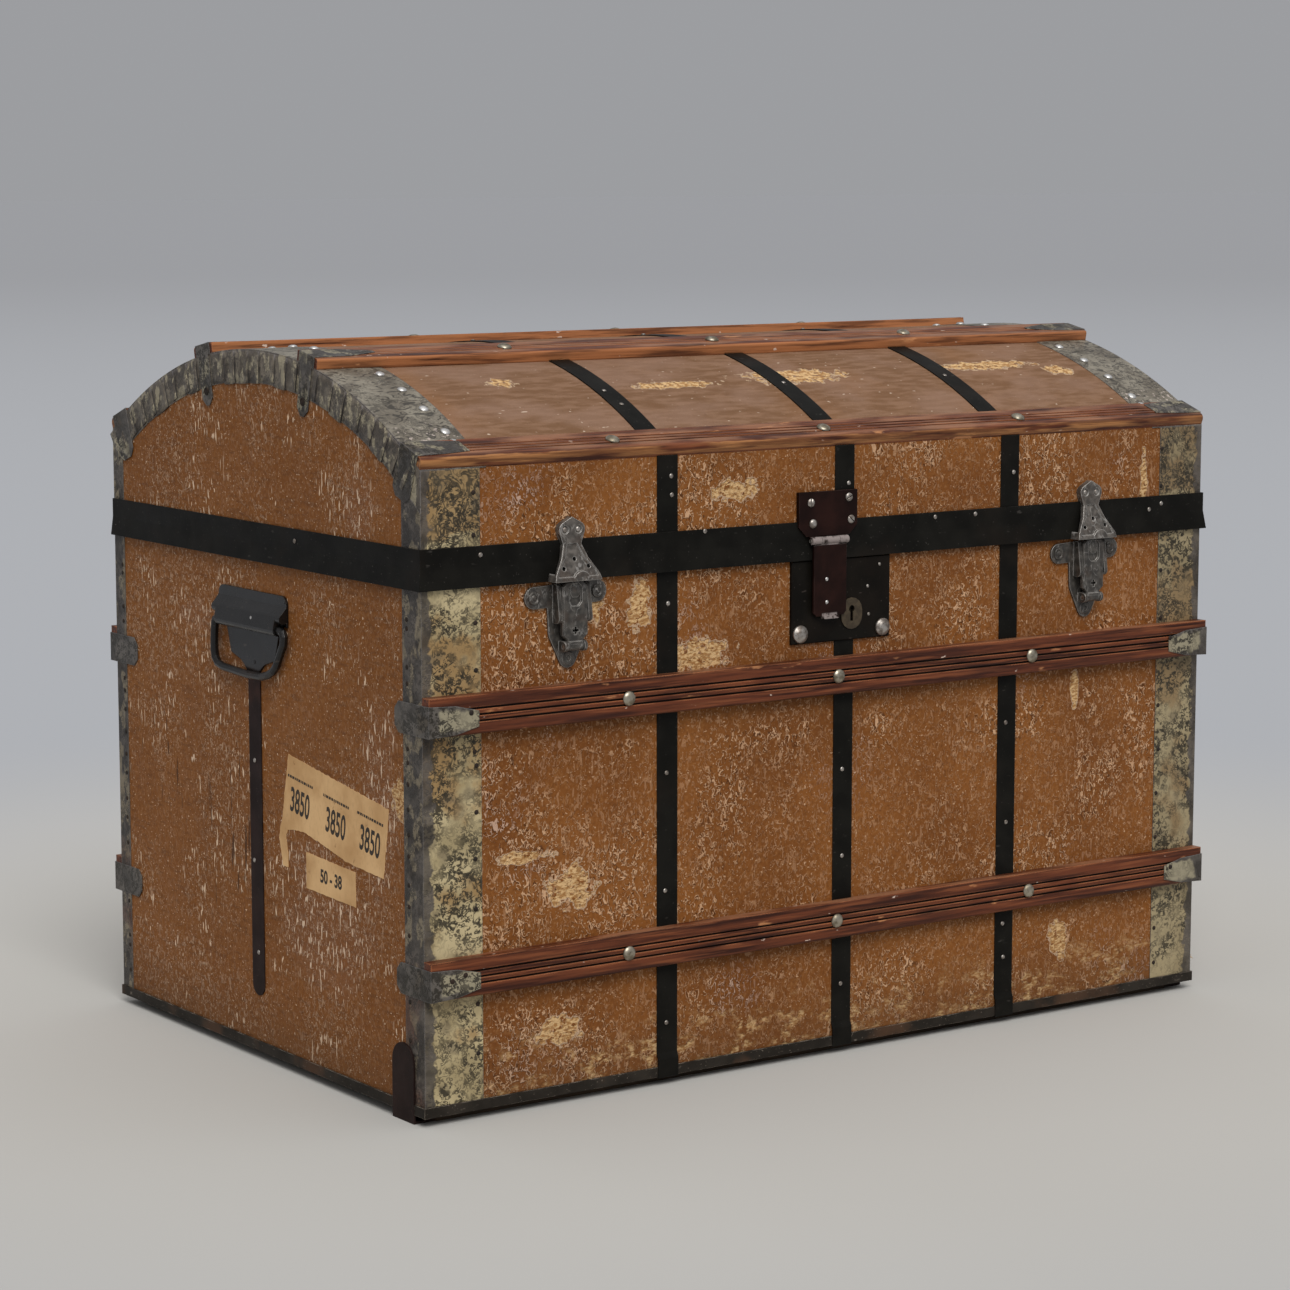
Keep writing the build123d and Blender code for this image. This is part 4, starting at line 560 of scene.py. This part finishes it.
def board_paint(name, dark, light):
    """Plain sawn boards, seen inside the lid's rim and underneath."""
    wood = Paint(name, specular=0.2)
    grain = wood.noise(7, 6, (1, 18, 18), roughness=0.6)
    wood.color = wood.mix(grain.span(0.3, 0.7), dark, light)
    wood.coat(wood.noise(14, 4).span(0.5, 0.75) * 0.4, dark)
    return wood.finish(0.8, grain, 0.3, 0.0008)


# ---- Paper and small metal ----
def paper_paint(name, base, stain):
    """Aged paper, unevenly yellowed, with brown spots and a slight cockle."""
    paper = Paint(name, specular=0.2)
    yellowing = paper.noise(24, 5)
    paper.color = paper.mix(yellowing.span(0.35, 0.7), base, stain)
    paper.coat(paper.noise(95, 3, shift=(2, 6, 1)).span(0.66, 0.74) * 0.6, (0.2, 0.085, 0.03))
    fibre = paper.noise(400, 2, (1, 1, 0.4))
    paper.coat(fibre.span(0.5, 0.8) * 0.25, toned(stain, 0.6))
    return paper.finish(0.85, fibre.scaled(0.3, yellowing), 0.3, 0.0006)


def metal_paint(name, base, tarnish, roughness, amount, metallic=0.9):
    """Small bright metal: nail heads, bolts, pins and brass."""
    metal = Paint(name, metallic=metallic)
    cloud = metal.noise(170, 4)
    metal.color = metal.mix(cloud.span(0.4, 0.62) * amount, base, tarnish)
    metal.coat(metal.noise(700, 2).span(0.62, 0.72) * 0.5, toned(tarnish, 0.4))
    return metal.finish(cloud.scaled(0.4, roughness - 0.08), cloud, 0.2, 0.0004)


def dress(material, *patterns):
    """Give a material to the CAD nodes whose names fit, and hand it back."""
    for name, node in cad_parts.items():
        if any(fnmatch(name, pattern) for pattern in patterns):
            node.data.materials.clear()
            node.data.materials.append(material)
    return material


dress(canvas_paint(), "*_canvas")
dress(corner_tin_paint(), "front_*_tin", "*_corner_tins")
dome_tin = dress(dome_tin_paint(), "*_dome_binding")
clip_middles = (upper_slat_foot + clip_width / 2, lower_slat_foot + clip_width / 2)
dress(clip_tin_paint("body_clip_tin", 0.85, clip_middles), "body_slat_clips")
dress(clip_tin_paint("lid_clip_tin", 0.68), "lid_slat_clips")
dress(iron_paint("black_iron", (0.0056, 0.0052, 0.0042), (0.1, 0.09, 0.08), (0.016, 0.011, 0.008),
                 roughness=0.46, wear=0.25),
      "*_hoops", "lid_band", "*_hinge_leaves")
dress(iron_paint("lock_iron", (0.0048, 0.004, 0.003), (0.1, 0.08, 0.07), (0.014, 0.009, 0.006),
                 roughness=0.42, wear=0.2),
      "lock_plate")
handle_iron = dress(
    iron_paint("handle_iron", (0.006, 0.0056, 0.0054), (0.13, 0.1, 0.08), (0.04, 0.023, 0.015),
               roughness=0.27, rusty=0.35, wear=0.3, specular=0.36),
    "*_handle_plate", "*_bail")
dress(iron_paint("rusty_strap", (0.015, 0.0085, 0.0075), (0.1, 0.07, 0.06), (0.052, 0.021, 0.014),
                 rusty=0.9, wear=0.3),
      "end_straps", "skid_end_irons")
dress(iron_paint("rim_iron", (0.018, 0.015, 0.012), (0.36, 0.3, 0.24), (0.085, 0.045, 0.026),
                 rusty=0.7, wear=0.9),
      "bottom_rim")
dress(maroon_paint(), "hasp_plate", "hasp")
cast_iron = dress(cast_paint("cast_fittings", (0.04, 0.036, 0.031), (0.34, 0.32, 0.295)),
                  "*_latch_plate", "*_latch_lever")
dress(cast_paint("cast_hoods", (0.066, 0.058, 0.05), (0.46, 0.44, 0.41)), "latch_hoods")
dress(slat_paint("varnished_slat", off_the_wall, 8.6 * MM, "wall"), "*_upper_slat", "*_lower_slat")
dress(slat_paint("varnished_top_slat", off_the_dome, 6.6 * MM, "top"), "*_top_slat")
dress(slat_paint("rubbed_and_highlit_edge_slat", above_the_edge, 7.1 * MM, "edge"), "*_edge_slat")
dress(board_paint("sawn_board", (0.2, 0.115, 0.055), (0.42, 0.29, 0.17)),
      "*_board", "lid_*_rail", "lid_*_end", "lid_top")
dress(board_paint("dark_skid", (0.025, 0.017, 0.011), (0.075, 0.05, 0.032)), "bottom_skids")
dress(paper_paint("lining_paper", (0.52, 0.45, 0.33), (0.4, 0.32, 0.21)), "*_lining")
nickel = dress(metal_paint("dull_nickel", (0.42, 0.38, 0.3), (0.14, 0.11, 0.068), 0.3, 0.75),
               "*_slat_nails", "lock_case")
pale_steel = metal_paint("pale_steel", (0.72, 0.71, 0.69), (0.36, 0.33, 0.29), 0.3, 0.4)
worn_steel = dress(metal_paint("worn_steel", (0.46, 0.425, 0.385), (0.115, 0.083, 0.062), 0.34, 0.72),
                   "lock_bolts", "hasp_pin", "latch_pins", "hinge_pins")
dark_nail = metal_paint("dark_nail", (0.02, 0.014, 0.01), (0.045, 0.024, 0.014), 0.6, 0.6, 0.4)
dress(metal_paint("old_brass", (0.085, 0.062, 0.036), (0.04, 0.028, 0.017), 0.42, 0.7, 0.5), "escutcheon")
label_paper = paper_paint("label_paper", (0.7, 0.45, 0.22), (0.5, 0.29, 0.125))
ink = metal_paint("printing_ink", (0.026, 0.02, 0.015), (0.075, 0.052, 0.032), 0.75, 0.4, 0.0)
# dark tin for the walls of the pleats, as painted shade along each fold
fold_shade_tin = metal_paint("painted_fold_shade_tin", (0.03, 0.027, 0.024), (0.055, 0.048, 0.04), 0.5, 0.6, 0.2)
straw = paper_paint("straw", (0.55, 0.36, 0.17), (0.4, 0.23, 0.1))


# ---- Small pieces ----
class Batch:
    """Gathers small shapes of one kind into a single mesh piece; a shape is its points and faces."""

    def __init__(self):
        self.points = []
        self.faces = []
        self.smooth = []

    def add(self, shape, matrix=Matrix.Identity(4), smooth=True):
        start = len(self.points)
        points, faces = shape
        self.points += [matrix @ Vector(point) for point in points]
        self.faces += [[start + index for index in face] for face in faces]
        self.smooth += [smooth] * len(faces)

    def build(self, name, material, body):
        mesh = bpy.data.meshes.new(name)
        mesh.from_pydata(self.points, [], self.faces)
        mesh.polygons.foreach_set("use_smooth", self.smooth)
        mesh.materials.append(material)
        piece = placed(name, mesh)
        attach(piece, body)
        return piece


def circle(radius, count):
    """Points of a circle, anticlockwise."""
    turns = [2 * pi * step / count for step in range(count)]
    return [(radius * cos(turn), radius * sin(turn)) for turn in turns]


def between(low, high, count):
    """Faces between two rings of points, given by the index of each ring's first point."""
    steps = [(step, (step + 1) % count) for step in range(count)]
    return [(low + step, low + after, high + after, high + step) for step, after in steps]


def lathe(profile, count=20):
    """Closed solid of revolution about Z, from (radius, height) points that start and end on the axis."""
    rings = profile[1:-1]
    points = [(0, 0, profile[0][1] * MM)]
    for radius, height in rings:
        points += [(x, y, height * MM) for x, y in circle(radius * MM, count)]
    points.append((0, 0, profile[-1][1] * MM))
    last = len(points) - 1
    top = last - count
    faces = []
    for step in range(count):
        after = (step + 1) % count
        faces.append((0, 1 + after, 1 + step))
        for base in range(1, top, count):
            faces.append((base + step, base + after, base + count + after, base + count + step))
        faces.append((top + step, top + after, last))
    return points, faces


def dome_head(radius, rise, count=20, rings=5):
    """Domed nail head, flat underneath."""
    turns = [0.5 * pi * ring / rings for ring in range(rings)]
    curve = [(radius * cos(turn), rise * sin(turn)) for turn in turns]
    return lathe([(0, 0), *curve, (0, rise)], count)


def ring_head(outer, inner, rise):
    """Round rim with a rivet's dome inside it."""
    rim = [(outer, 0), (outer * 0.97, rise * 0.7), ((outer + inner) / 2, rise), (inner, rise * 0.6)]
    middle = [(inner * 0.94, rise * 0.1), (inner * 0.72, rise * 0.5), (inner * 0.4, rise * 0.9)]
    return lathe([(0, 0), *rim, *middle, (0, rise)], 24)


def screw_head(radius, rise, slot):
    """Round screw head with a real slot: two half rounds on a thin disc."""
    low = 0.45 * rise
    points, faces = lathe([(0, 0), (radius, 0), (radius, low), (0, low)])
    steps = 9
    for side in sides:
        start = len(points)
        rim = []
        for step in range(steps + 1):
            turn = pi * step / steps
            rim.append((0.97 * radius * cos(turn), side * max(radius * sin(turn), slot / 2)))
        points += [(x * MM, y * MM, low * MM) for x, y in rim]
        points += [(0.8 * x * MM, (0.8 * y if abs(y) > slot else y) * MM, rise * MM) for x, y in rim]
        count = len(rim)
        new = [tuple(range(start + count, start + 2 * count)), *between(start, start + count, count)]
        faces += new if side > 0 else [face[::-1] for face in new]
    return points, faces


def plate_shape(outline, thickness):
    """Flat sheet of any outline, given anticlockwise, standing on its matrix's origin."""
    count = len(outline)
    points = [(x * MM, y * MM, z * MM) for z in (0, thickness) for x, y in outline]
    ends = [tuple(reversed(range(count))), tuple(range(count, 2 * count))]
    return points, ends + between(0, count, count)


def box_shape(width, height, depth):
    """Box standing on its matrix's origin."""
    x, y = width / 2, height / 2
    return plate_shape([(-x, -y), (x, -y), (x, y), (-x, y)], depth)


def nails(name, places, head, material, body):
    """One piece of equal nail heads at the given matrices, each turned and tipped a little."""
    batch = Batch()
    for place in places:
        tip = Matrix.Rotation(uniform(-0.05, 0.05), 4, "X")
        batch.add(head, place @ tip @ Matrix.Rotation(uniform(0, 6.28), 4, "Z"))
    return batch.build(name, material, body)


def on_front(out, *places):
    """Matrices on the front, at X and Z."""
    return [front(x, z, out) for x, z in places]


def on_ends(out, *places):
    """Matrices on both ends, at Y and Z."""
    return [end(side, y, z, out) for side in sides for y, z in places]


def seats_of(node, normal_at, rise):
    """Matrices at the feet of a node's nail heads: its points in clusters, each one nail."""
    reach = 22 * MM
    clusters = []
    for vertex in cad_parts[node].data.vertices:
        own = next((cluster for cluster in clusters if (vertex.co - cluster[0]).length < reach), None)
        if own is None:
            own = []
            clusters.append(own)
        own.append(vertex.co.copy())
    seats = []
    for cluster in clusters:
        away = Vector(normal_at(sum(cluster, Vector()) / len(cluster))).normalized()
        top = max(point.dot(away) for point in cluster)
        tip = [point for point in cluster if point.dot(away) > top - 0.3 * MM]
        foot = sum(tip, Vector()) / len(tip) - rise * MM * away
        along = Vector((1, 0, 0))
        seats.append(face_matrix(along, away.cross(along), away, foot))
    return seats


def lid_slat_normal(point):
    """Direction a lid nail stands: off the dome on the top slats, at the tilt on the edge slats."""
    angle = degrees(atan2(point.y, point.z - dome_centre))
    lean = top_slat_angle if abs(angle) < 2 * top_slat_angle else edge_slat_tilt
    turn = radians(copysign(lean, angle))
    return 0, sin(turn), cos(turn)


# round heads in place of the solids' ten-sided ones, from their profiles in millimetres
slat_nail = [(0, 0), (6.0, 0), (6.0, 0.5), (5.7, 1.15), (4.7, 2.1), (3.2, 2.8), (1.6, 3.12), (0, 3.2)]
lock_bolt = [(0, 0), (7.5, 0), (7.5, 1.3), (6.9, 2.1), (5.6, 2.6), (4.9, 3.3), (3.6, 4.0), (1.9, 4.4),
             (0, 4.5)]
for node, profile, normal_at, material, body in (
        ("body_slat_nails", slat_nail, lambda point: (0, point.y, 0), nickel, "trunk"),
        ("lid_slat_nails", slat_nail, lid_slat_normal, nickel, "lid"),
        ("lock_bolts", lock_bolt, lambda point: (0, -1, 0), worn_steel, "trunk")):
    seats = seats_of(node, normal_at, rise=profile[-1][1])
    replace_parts(nails(node + "_round", seats, lathe(profile, 28), material, body), node)

# rivets along the bindings at the ends of the dome, none under a slat
binding_angles = [4.5 * step - 1.9 for step in range(-6, 7)]
clear_of_slats = [angle for angle in binding_angles if abs(abs(angle) - top_slat_angle) > 2.9]
rivets = [dome(side * 362, angle, tin_out) for side in sides
          for angle in (*clear_of_slats, -30.8, 28.6, 30.7)]
nails("lid_binding_rivets", rivets, dome_head(4.2, 2.0), pale_steel, "lid")

# dark nails down the tin strips
strip_heights = ((-361.5, (53, 93, 169, 209, 246, 283, 294, 358, 395)),
                 (364, (30, 62, 146, 186, 226, 266, 345, 388)))
front_y = -half_depth / MM
strip_nails = []
for x, heights in strip_heights:
    for z in heights:
        strip_nails += [front(x + uniform(-1, 1), z, tin_out), back(-x, z + 5, tin_out)]
        strip_nails += on_ends(tin_out, (front_y + 21, z + 4), (-front_y - 13, z + 2))
strip_head = dome_head(2.0, 0.7, 12, 3)
nails("body_tin_nails", strip_nails, strip_head, dark_nail, "trunk")
lid_strip_nails = []
for z in (463.5, 496.5):
    for side in sides:
        lid_strip_nails += [front(side * 362, z, tin_out), back(side * 365.5, z, tin_out)]
nails("lid_tin_nails", lid_strip_nails, strip_head, dark_nail, "lid")

# nails in the hoops, the band and the end straps
hoop_heights = ((397, 259, 162, 52), (244, 170, 60), (267, 179, 89, 59))
body_nails = []
lid_nails = []
for x, heights in zip(hoop_places, hoop_heights):
    for z in heights:
        body_nails.append(front(x + uniform(-3, 1), z, hoop_out))
        body_nails.append(back(x + uniform(-2, 2), z + 6, hoop_out))
    lid_nails += [dome(x + uniform(-2, 2), angle, hoop_out) for angle in (-22.3, -6.0, 4.0, 20.0, 26.0)]
    lid_nails += [front(x + 4, 484.5, hoop_out), back(x, 486, hoop_out)]
lid_nails += [dome(hoop_places[0], -25.4, hoop_out), front(-174.6, 499.7, hoop_out)]
body_nails += on_ends(hoop_out, (8, 255), (11, 170), (6, 92))
lid_nails += on_front(band_out, (-357, 448), (-142, 453.5), (99.5, 451), (144, 451), (346, 443.5),
                      (360.5, 448))
lid_nails += on_ends(band_out, (-66.5, 445.2), (-113.7, 427.0), (250.0, 431.8))
hoop_head = dome_head(2.1, 1.0, 14, 3)
nails("body_hoop_nails", body_nails, hoop_head, worn_steel, "trunk")
nails("lid_hoop_nails", lid_nails, hoop_head, worn_steel, "lid")

# nails in the clips on the walls, and in their tongues on the dome's ends
clip_face, tongue_face = 11.8, 1.4
clip_nails = []
for x, z in ((-379, 120.5), (-391, 117), (366, 328), (372, 119), (-372, 327)):
    clip_nails += [front(x, z, clip_face), back(-x, z, clip_face)]
nails("body_clip_nails", clip_nails, dome_head(2.2, 0.9, 12, 3), dark_nail, "trunk")
tongue_reach = dome_radius / MM - 30
tongue_y = tongue_reach * sin(radians(top_slat_angle))
tongue_z = dome_centre / MM + tongue_reach * cos(radians(top_slat_angle))
nails("lid_clip_nails", on_ends(tongue_face, (-tongue_y, tongue_z), (tongue_y, tongue_z)),
      ring_head(3.6, 2.4, 0.9), dark_nail, "lid")

# rivets and rings of the latches, on plate and hood; offsets are from the lever's middle
latch_face, hood_face = 1.6, 4.7
latch_rivets = []
hood_rivets = []
for x in (-latch_x, latch_x):
    latch_rivets += on_front(latch_face, (x - 33.5, 410.5), (x + 26.5, 412.5), (x - 2, 361))
    hood_rivets += on_front(hood_face, (x - 6.2, 463), (x + 6.2, 463))
nails("latch_plate_rivets", latch_rivets, ring_head(5.6, 3.2, 1.9), cast_iron, "trunk")
nails("latch_hood_rivets", hood_rivets, dome_head(2.5, 1.5, 16, 4), worn_steel, "lid")

# lock plate, hasp plate and strap
lock_face, hasp_plate_face, strap_face = 3.0, 4.5, 7.6
nails("lock_plate_rivets", on_front(lock_face, (26.4, 397.4), (39.0, 415.0), (27.7, 373.7)),
      dome_head(1.5, 0.7, 12, 3), worn_steel, "trunk")
screws = Batch()
# dark sheets laid at the floors of the screws' slots, as painted shade
slot_shades = Batch()
screw_rise, slot_width = 1.7, 1.0
for place, turn in zip(on_front(hasp_plate_face, (-35.4, 470.6), (4.5, 473.4), (6.8, 454.9)), (90, 25, -40)):
    place = place @ Matrix.Rotation(radians(turn), 4, "Z")
    screws.add(screw_head(3.5, screw_rise, slot_width), place)
    slot_shades.add(box_shape(6.2, slot_width, 0.6 * screw_rise), place, smooth=False)
screws.build("hasp_plate_screws", worn_steel, "lid")
slot_shades.build("hasp_screw_slot_shades", dark_nail, "lid")
nails("hasp_plate_round_screw", [front(-33.2, 453.1, hasp_plate_face)], dome_head(4.0, 2.4, 18),
      worn_steel, "lid")
small_rivet = dome_head(1.7, 0.8, 14, 3)
nails("hasp_strap_rivets", on_front(strap_face, (-20.7, 406.7), (-20.5, 387.5)), small_rivet,
      pale_steel, "hasp")

# rivets of the handles
handle_face, roll_face = 1.8, 8.7
nails("handle_rivets", on_ends(handle_face, (-48, 393.5), (3.7, 338.2)), small_rivet, handle_iron, "trunk")
nails("handle_roll_rivets", on_ends(roll_face, (-4.3, 376.5)), dome_head(2.0, 1.4, 14, 4),
      pale_steel, "trunk")


# ---- Pleated flanges of the dome's bindings ----
def grid_faces(across, along):
    """Faces of two layers of a grid of points, the second on top, then the walls round their rim."""
    columns = across + 1
    layer = columns * (along + 1)
    faces = []
    for row in range(along):
        for column in range(across):
            corner = row * columns + column
            quad = (corner, corner + 1, corner + columns + 1, corner + columns)
            faces += [tuple(index + layer for index in quad), quad[::-1]]
    rim = [*range(across), *range(across, layer - 1, columns), *range(layer - 1, layer - columns, -1),
           *range(layer - columns, 0, -columns)]
    for corner, after in zip(rim, rim[1:] + rim[:1]):
        faces.append((corner, after, after + layer, corner + layer))
    return faces, len(rim)


def pleats(name, side):
    """The flange's tucks: thin wedges, each lapping over the next, between the clips' tongues."""
    inner, outer = 423.8 * MM, dome_radius - 0.6 * MM
    foot, lift, rounding, ripple = 0.05 * MM, 1.25 * MM, 0.6 * MM, 0.22 * MM
    first_angle, last_angle, narrowest, lap = -33.5, 33.0, 2.2, 0.25
    tongues = ((-13.0, -9.3), (9.3, 13.0))
    across, along = 6, 5
    faces, rim_count = grid_faces(across, along)
    if side > 0:
        faces = [face[::-1] for face in faces]
    batch = Batch()
    walls = []
    angle = first_angle
    while angle < last_angle:
        limit = angle + uniform(2.3, 3.5)
        inset = uniform(-2.8, 0.8) * MM
        height = lift * uniform(0.65, 1.0)
        for low, high in tongues:
            if angle < low < limit:
                limit = low
            if low <= angle < high:
                angle = high
                limit = max(limit, angle + narrowest)
        points = []
        for layer in (0, 1):
            for share in [row / along for row in range(along + 1)]:
                for part in [column / across for column in range(across + 1)]:
                    turn = radians(angle + (limit + lap - angle) * part)
                    corner = rounding * (1 - sin(pi * part)) * (1 - share)
                    radius = inner + inset + corner + (outer - inner - inset - corner) * share
                    tuck = foot + height * (1 - part) ** 1.6 * (1 - share ** 4)
                    tuck += ripple * sin(3.1 * pi * part) * (1 - share ** 3)
                    out = tin_out * MM + max(tuck, foot) if layer else foot
                    points.append((side * (half_length + out), radius * sin(turn),
                                   dome_centre + radius * cos(turn)))
        batch.add((points, faces))
        walls += range(len(batch.faces) - rim_count, len(batch.faces))
        angle = limit
    piece = batch.build(name, dome_tin, "lid")
    # painted shade along the folds: the wedges' walls take the dark tin
    piece.data.materials.append(fold_shade_tin)
    for index in walls:
        piece.data.polygons[index].use_smooth = False
        piece.data.polygons[index].material_index = 1


pleats("left_binding_pleats", -1)
pleats("right_binding_pleats", 1)

# ---- Labels on the left end ----
# outlines as (Y, Z) on the end, in millimetres
big_label = [(-47.3, 267.8), (-206.3, 245.4), (-196.9, 188.6), (-139.5, 192.8), (-93.7, 202.3),
             (-69.2, 206.4), (-44.2, 204.7), (-41.8, 197.5), (-44.8, 185.0), (-44.8, 173.1),
             (-36.5, 173.6), (-30.2, 195.6), (-32.8, 206.4), (-35.2, 210.2)]
small_label = [(-74.7, 190.6), (-153.2, 186.6), (-153.9, 157.9), (-74.4, 160.7)]
label_thickness, ink_gap, ink_thickness = 0.25, 0.03, 0.06
figure_height = 0.7                 # of the built-in type, as a share of its size
label_tilt = -7.2                   # of the rows of numbers, degrees
tear_step = 3.0


def torn(outline, wobble):
    """The outline with its sides split and shaken, as torn paper."""
    ragged = []
    for (y, z), (next_y, next_z) in zip(outline, outline[1:] + outline[:1]):
        count = max(1, round(hypot(next_y - y, next_z - z) / tear_step))
        for part in range(count):
            ragged.append((-(y + (next_y - y) * part / count + uniform(-wobble, wobble)),
                           z + (next_z - z) * part / count + uniform(-wobble, wobble)))
    area = sum(x0 * y1 - x1 * y0 for (x0, y0), (x1, y1) in zip(ragged, ragged[1:] + ragged[:1]))
    return ragged if area > 0 else ragged[::-1]


labels = Batch()
for outline, wobble in ((big_label, 0.5), (small_label, 0.25)):
    labels.add(plate_shape(torn(outline, wobble), label_thickness), end(-1, 0, 0, 0), smooth=False)
labels.build("end_labels", label_paper, "trunk")


def printed(batch, text, place, height, narrow, bold):
    """Lay a number on a label: the built-in type, narrowed and thickened."""
    curve = bpy.data.curves.new("number", "FONT")
    curve.body = text
    curve.align_x = curve.align_y = "CENTER"
    curve.size = height * MM / figure_height
    curve.offset = bold * MM
    curve.extrude = ink_thickness * MM
    figure = bpy.data.objects.new("number", curve)
    mesh = bpy.data.meshes.new_from_object(figure)
    shape = [vertex.co.copy() for vertex in mesh.vertices], [tuple(face.vertices) for face in mesh.polygons]
    batch.add(shape, place @ Matrix.Diagonal((narrow, 1, 1, 1)), smooth=False)
    bpy.data.objects.remove(figure)
    bpy.data.curves.remove(curve)
    bpy.data.meshes.remove(mesh)


def tilted(y, z, angle):
    """Matrix on the labels' face, turned in its plane."""
    return end(-1, y, z, label_thickness + ink_gap) @ Matrix.Rotation(radians(angle), 4, "Z")


print_batch = Batch()
for y, z in ((-65.3, 228.5), (-122.7, 220.4), (-176.3, 214.3)):
    printed(print_batch, "3850", tilted(y, z, label_tilt), 20, 0.56, 0.5)
    line = tilted(y - 1.0, z + 19.5, label_tilt)
    reach = -20.0
    while reach < 19.0:
        dash = uniform(1.2, 3.6)
        place = line @ Matrix.Translation(((reach + dash / 2) * MM, 0, 0))
        print_batch.add(box_shape(dash, 2.2, ink_thickness), place, smooth=False)
        reach += dash + 0.9
printed(print_batch, "50 - 38", tilted(-114.5, 173.8, -1.5), 10.5, 0.8, 0.45)
print_batch.build("label_numbers", ink, "trunk")


# ---- Straw caught under the right corner ----
def straw_tuft(name, foot, count):
    """Stiff curved stalks from one point, each a thin five-sided tube that tapers."""
    batch = Batch()
    corners, joints = 5, 6
    last = (joints - 1) * corners
    faces = [tuple(reversed(range(corners))), tuple(range(last, last + corners))]
    for low in range(0, last, corners):
        faces += between(low, low + corners, corners)
    for _ in range(count):
        reach = uniform(6, 10) * MM
        fan, rise = uniform(-0.7, 0.5), uniform(-0.35, 0.25)
        start = Vector(foot) + Vector((0, uniform(-5, 8) * MM, uniform(-3, 4) * MM))
        points = []
        for joint in range(joints):
            share = joint / (joints - 1)
            bend = 1.6 * MM * sin(3 * share)
            centre = start + Vector((share * reach, fan * share * reach, rise * share * reach + bend))
            thick = 0.55 * MM * (1 - 0.6 * share)
            points += [centre + Vector((0, y, z)) for y, z in circle(thick, corners)]
        batch.add((points, faces))
    batch.build(name, straw, "trunk")


straw_tuft("straw_tuft", (half_length - 0.5 * MM, -0.246, 0.029), 26)

# ---- Camera ----
view_yaw = radians(35.2253)
view_pitch = radians(-7.8176)
focal_length_px = 3521.23
picture_px = 1290
camera_data = bpy.data.cameras.new("photo_camera")
camera_data.sensor_width = 36.0
camera_data.lens = focal_length_px * camera_data.sensor_width / picture_px
camera = placed("photo_camera", camera_data)
camera.location = (-1.8134, -2.5425, 0.7491)
camera.rotation_euler = (pi / 2 + view_pitch, 0, -view_yaw)
bpy.context.scene.camera = camera

# ---- Floor and light ----
floor_paint = Paint("studio_floor", specular=0.0)
from_middle = floor_paint.add("VectorMath", {0: floor_paint.place}, "Value", operation="LENGTH")
near_tone = floor_paint.mix(floor_paint.noise(1.6, 4), (0.446, 0.436, 0.41), (0.474, 0.464, 0.44))
wall_tone = floor_paint.mix(from_middle.span(1.5, 22.0), (0.37, 0.382, 0.404), (0.288, 0.294, 0.309))
floor_paint.color = floor_paint.mix(from_middle.span(0.55, 1.7), near_tone, wall_tone)
floor_size = 120.0
floor_mesh = bpy.data.meshes.new("floor")
corners = [(x * floor_size / 2, y * floor_size / 2, 0) for x, y in ((-1, -1), (1, -1), (1, 1), (-1, 1))]
floor_mesh.from_pydata(corners, [], [(0, 1, 2, 3)])
floor_mesh.materials.append(floor_paint.finish(0.9))
placed("floor", floor_mesh)

world = bpy.data.worlds.new("studio")
bpy.context.scene.world = world
world.use_nodes = True
tree = world.node_tree
ambient = tree.nodes["Background"]
ambient.inputs["Color"].default_value = (1.0, 1.0, 1.02, 1)
ambient.inputs["Strength"].default_value = 0.5
seen = tree.nodes.new("ShaderNodeBackground")
seen.inputs["Color"].default_value = (0.333, 0.338, 0.353, 1)
rays = tree.nodes.new("ShaderNodeLightPath").outputs
shown = rays["Is Camera Ray"]       # what sees the backdrop: the camera, and reflections and glass
for kind in ("Is Glossy Ray", "Is Transmission Ray"):
    either = tree.nodes.new("ShaderNodeMath")
    either.operation = "MAXIMUM"
    tree.links.new(shown, either.inputs[0])
    tree.links.new(rays[kind], either.inputs[1])
    shown = either.outputs[0]
choose = tree.nodes.new("ShaderNodeMixShader")
for socket, output in zip(choose.inputs, (shown, ambient.outputs[0], seen.outputs[0])):
    tree.links.new(output, socket)
tree.links.new(choose.outputs[0], tree.nodes["World Output"].inputs["Surface"])


def sun(name, towards_lamp, strength, spread, color=(1, 1, 1)):
    """Broad lamp far away, so that the floor is lit evenly; strength is in watts per square metre."""
    data = bpy.data.lights.new(name, "SUN")
    data.energy = strength
    data.angle = radians(spread)
    data.color = color
    placed(name, data).rotation_euler = Vector(towards_lamp).to_track_quat("Z", "Y").to_euler()


sun("key_light", (-0.35, -0.8, 1.0), 2.1, 35, (1.0, 0.985, 0.965))
sun("top_light", (0.15, -0.1, 1.0), 0.5, 70)
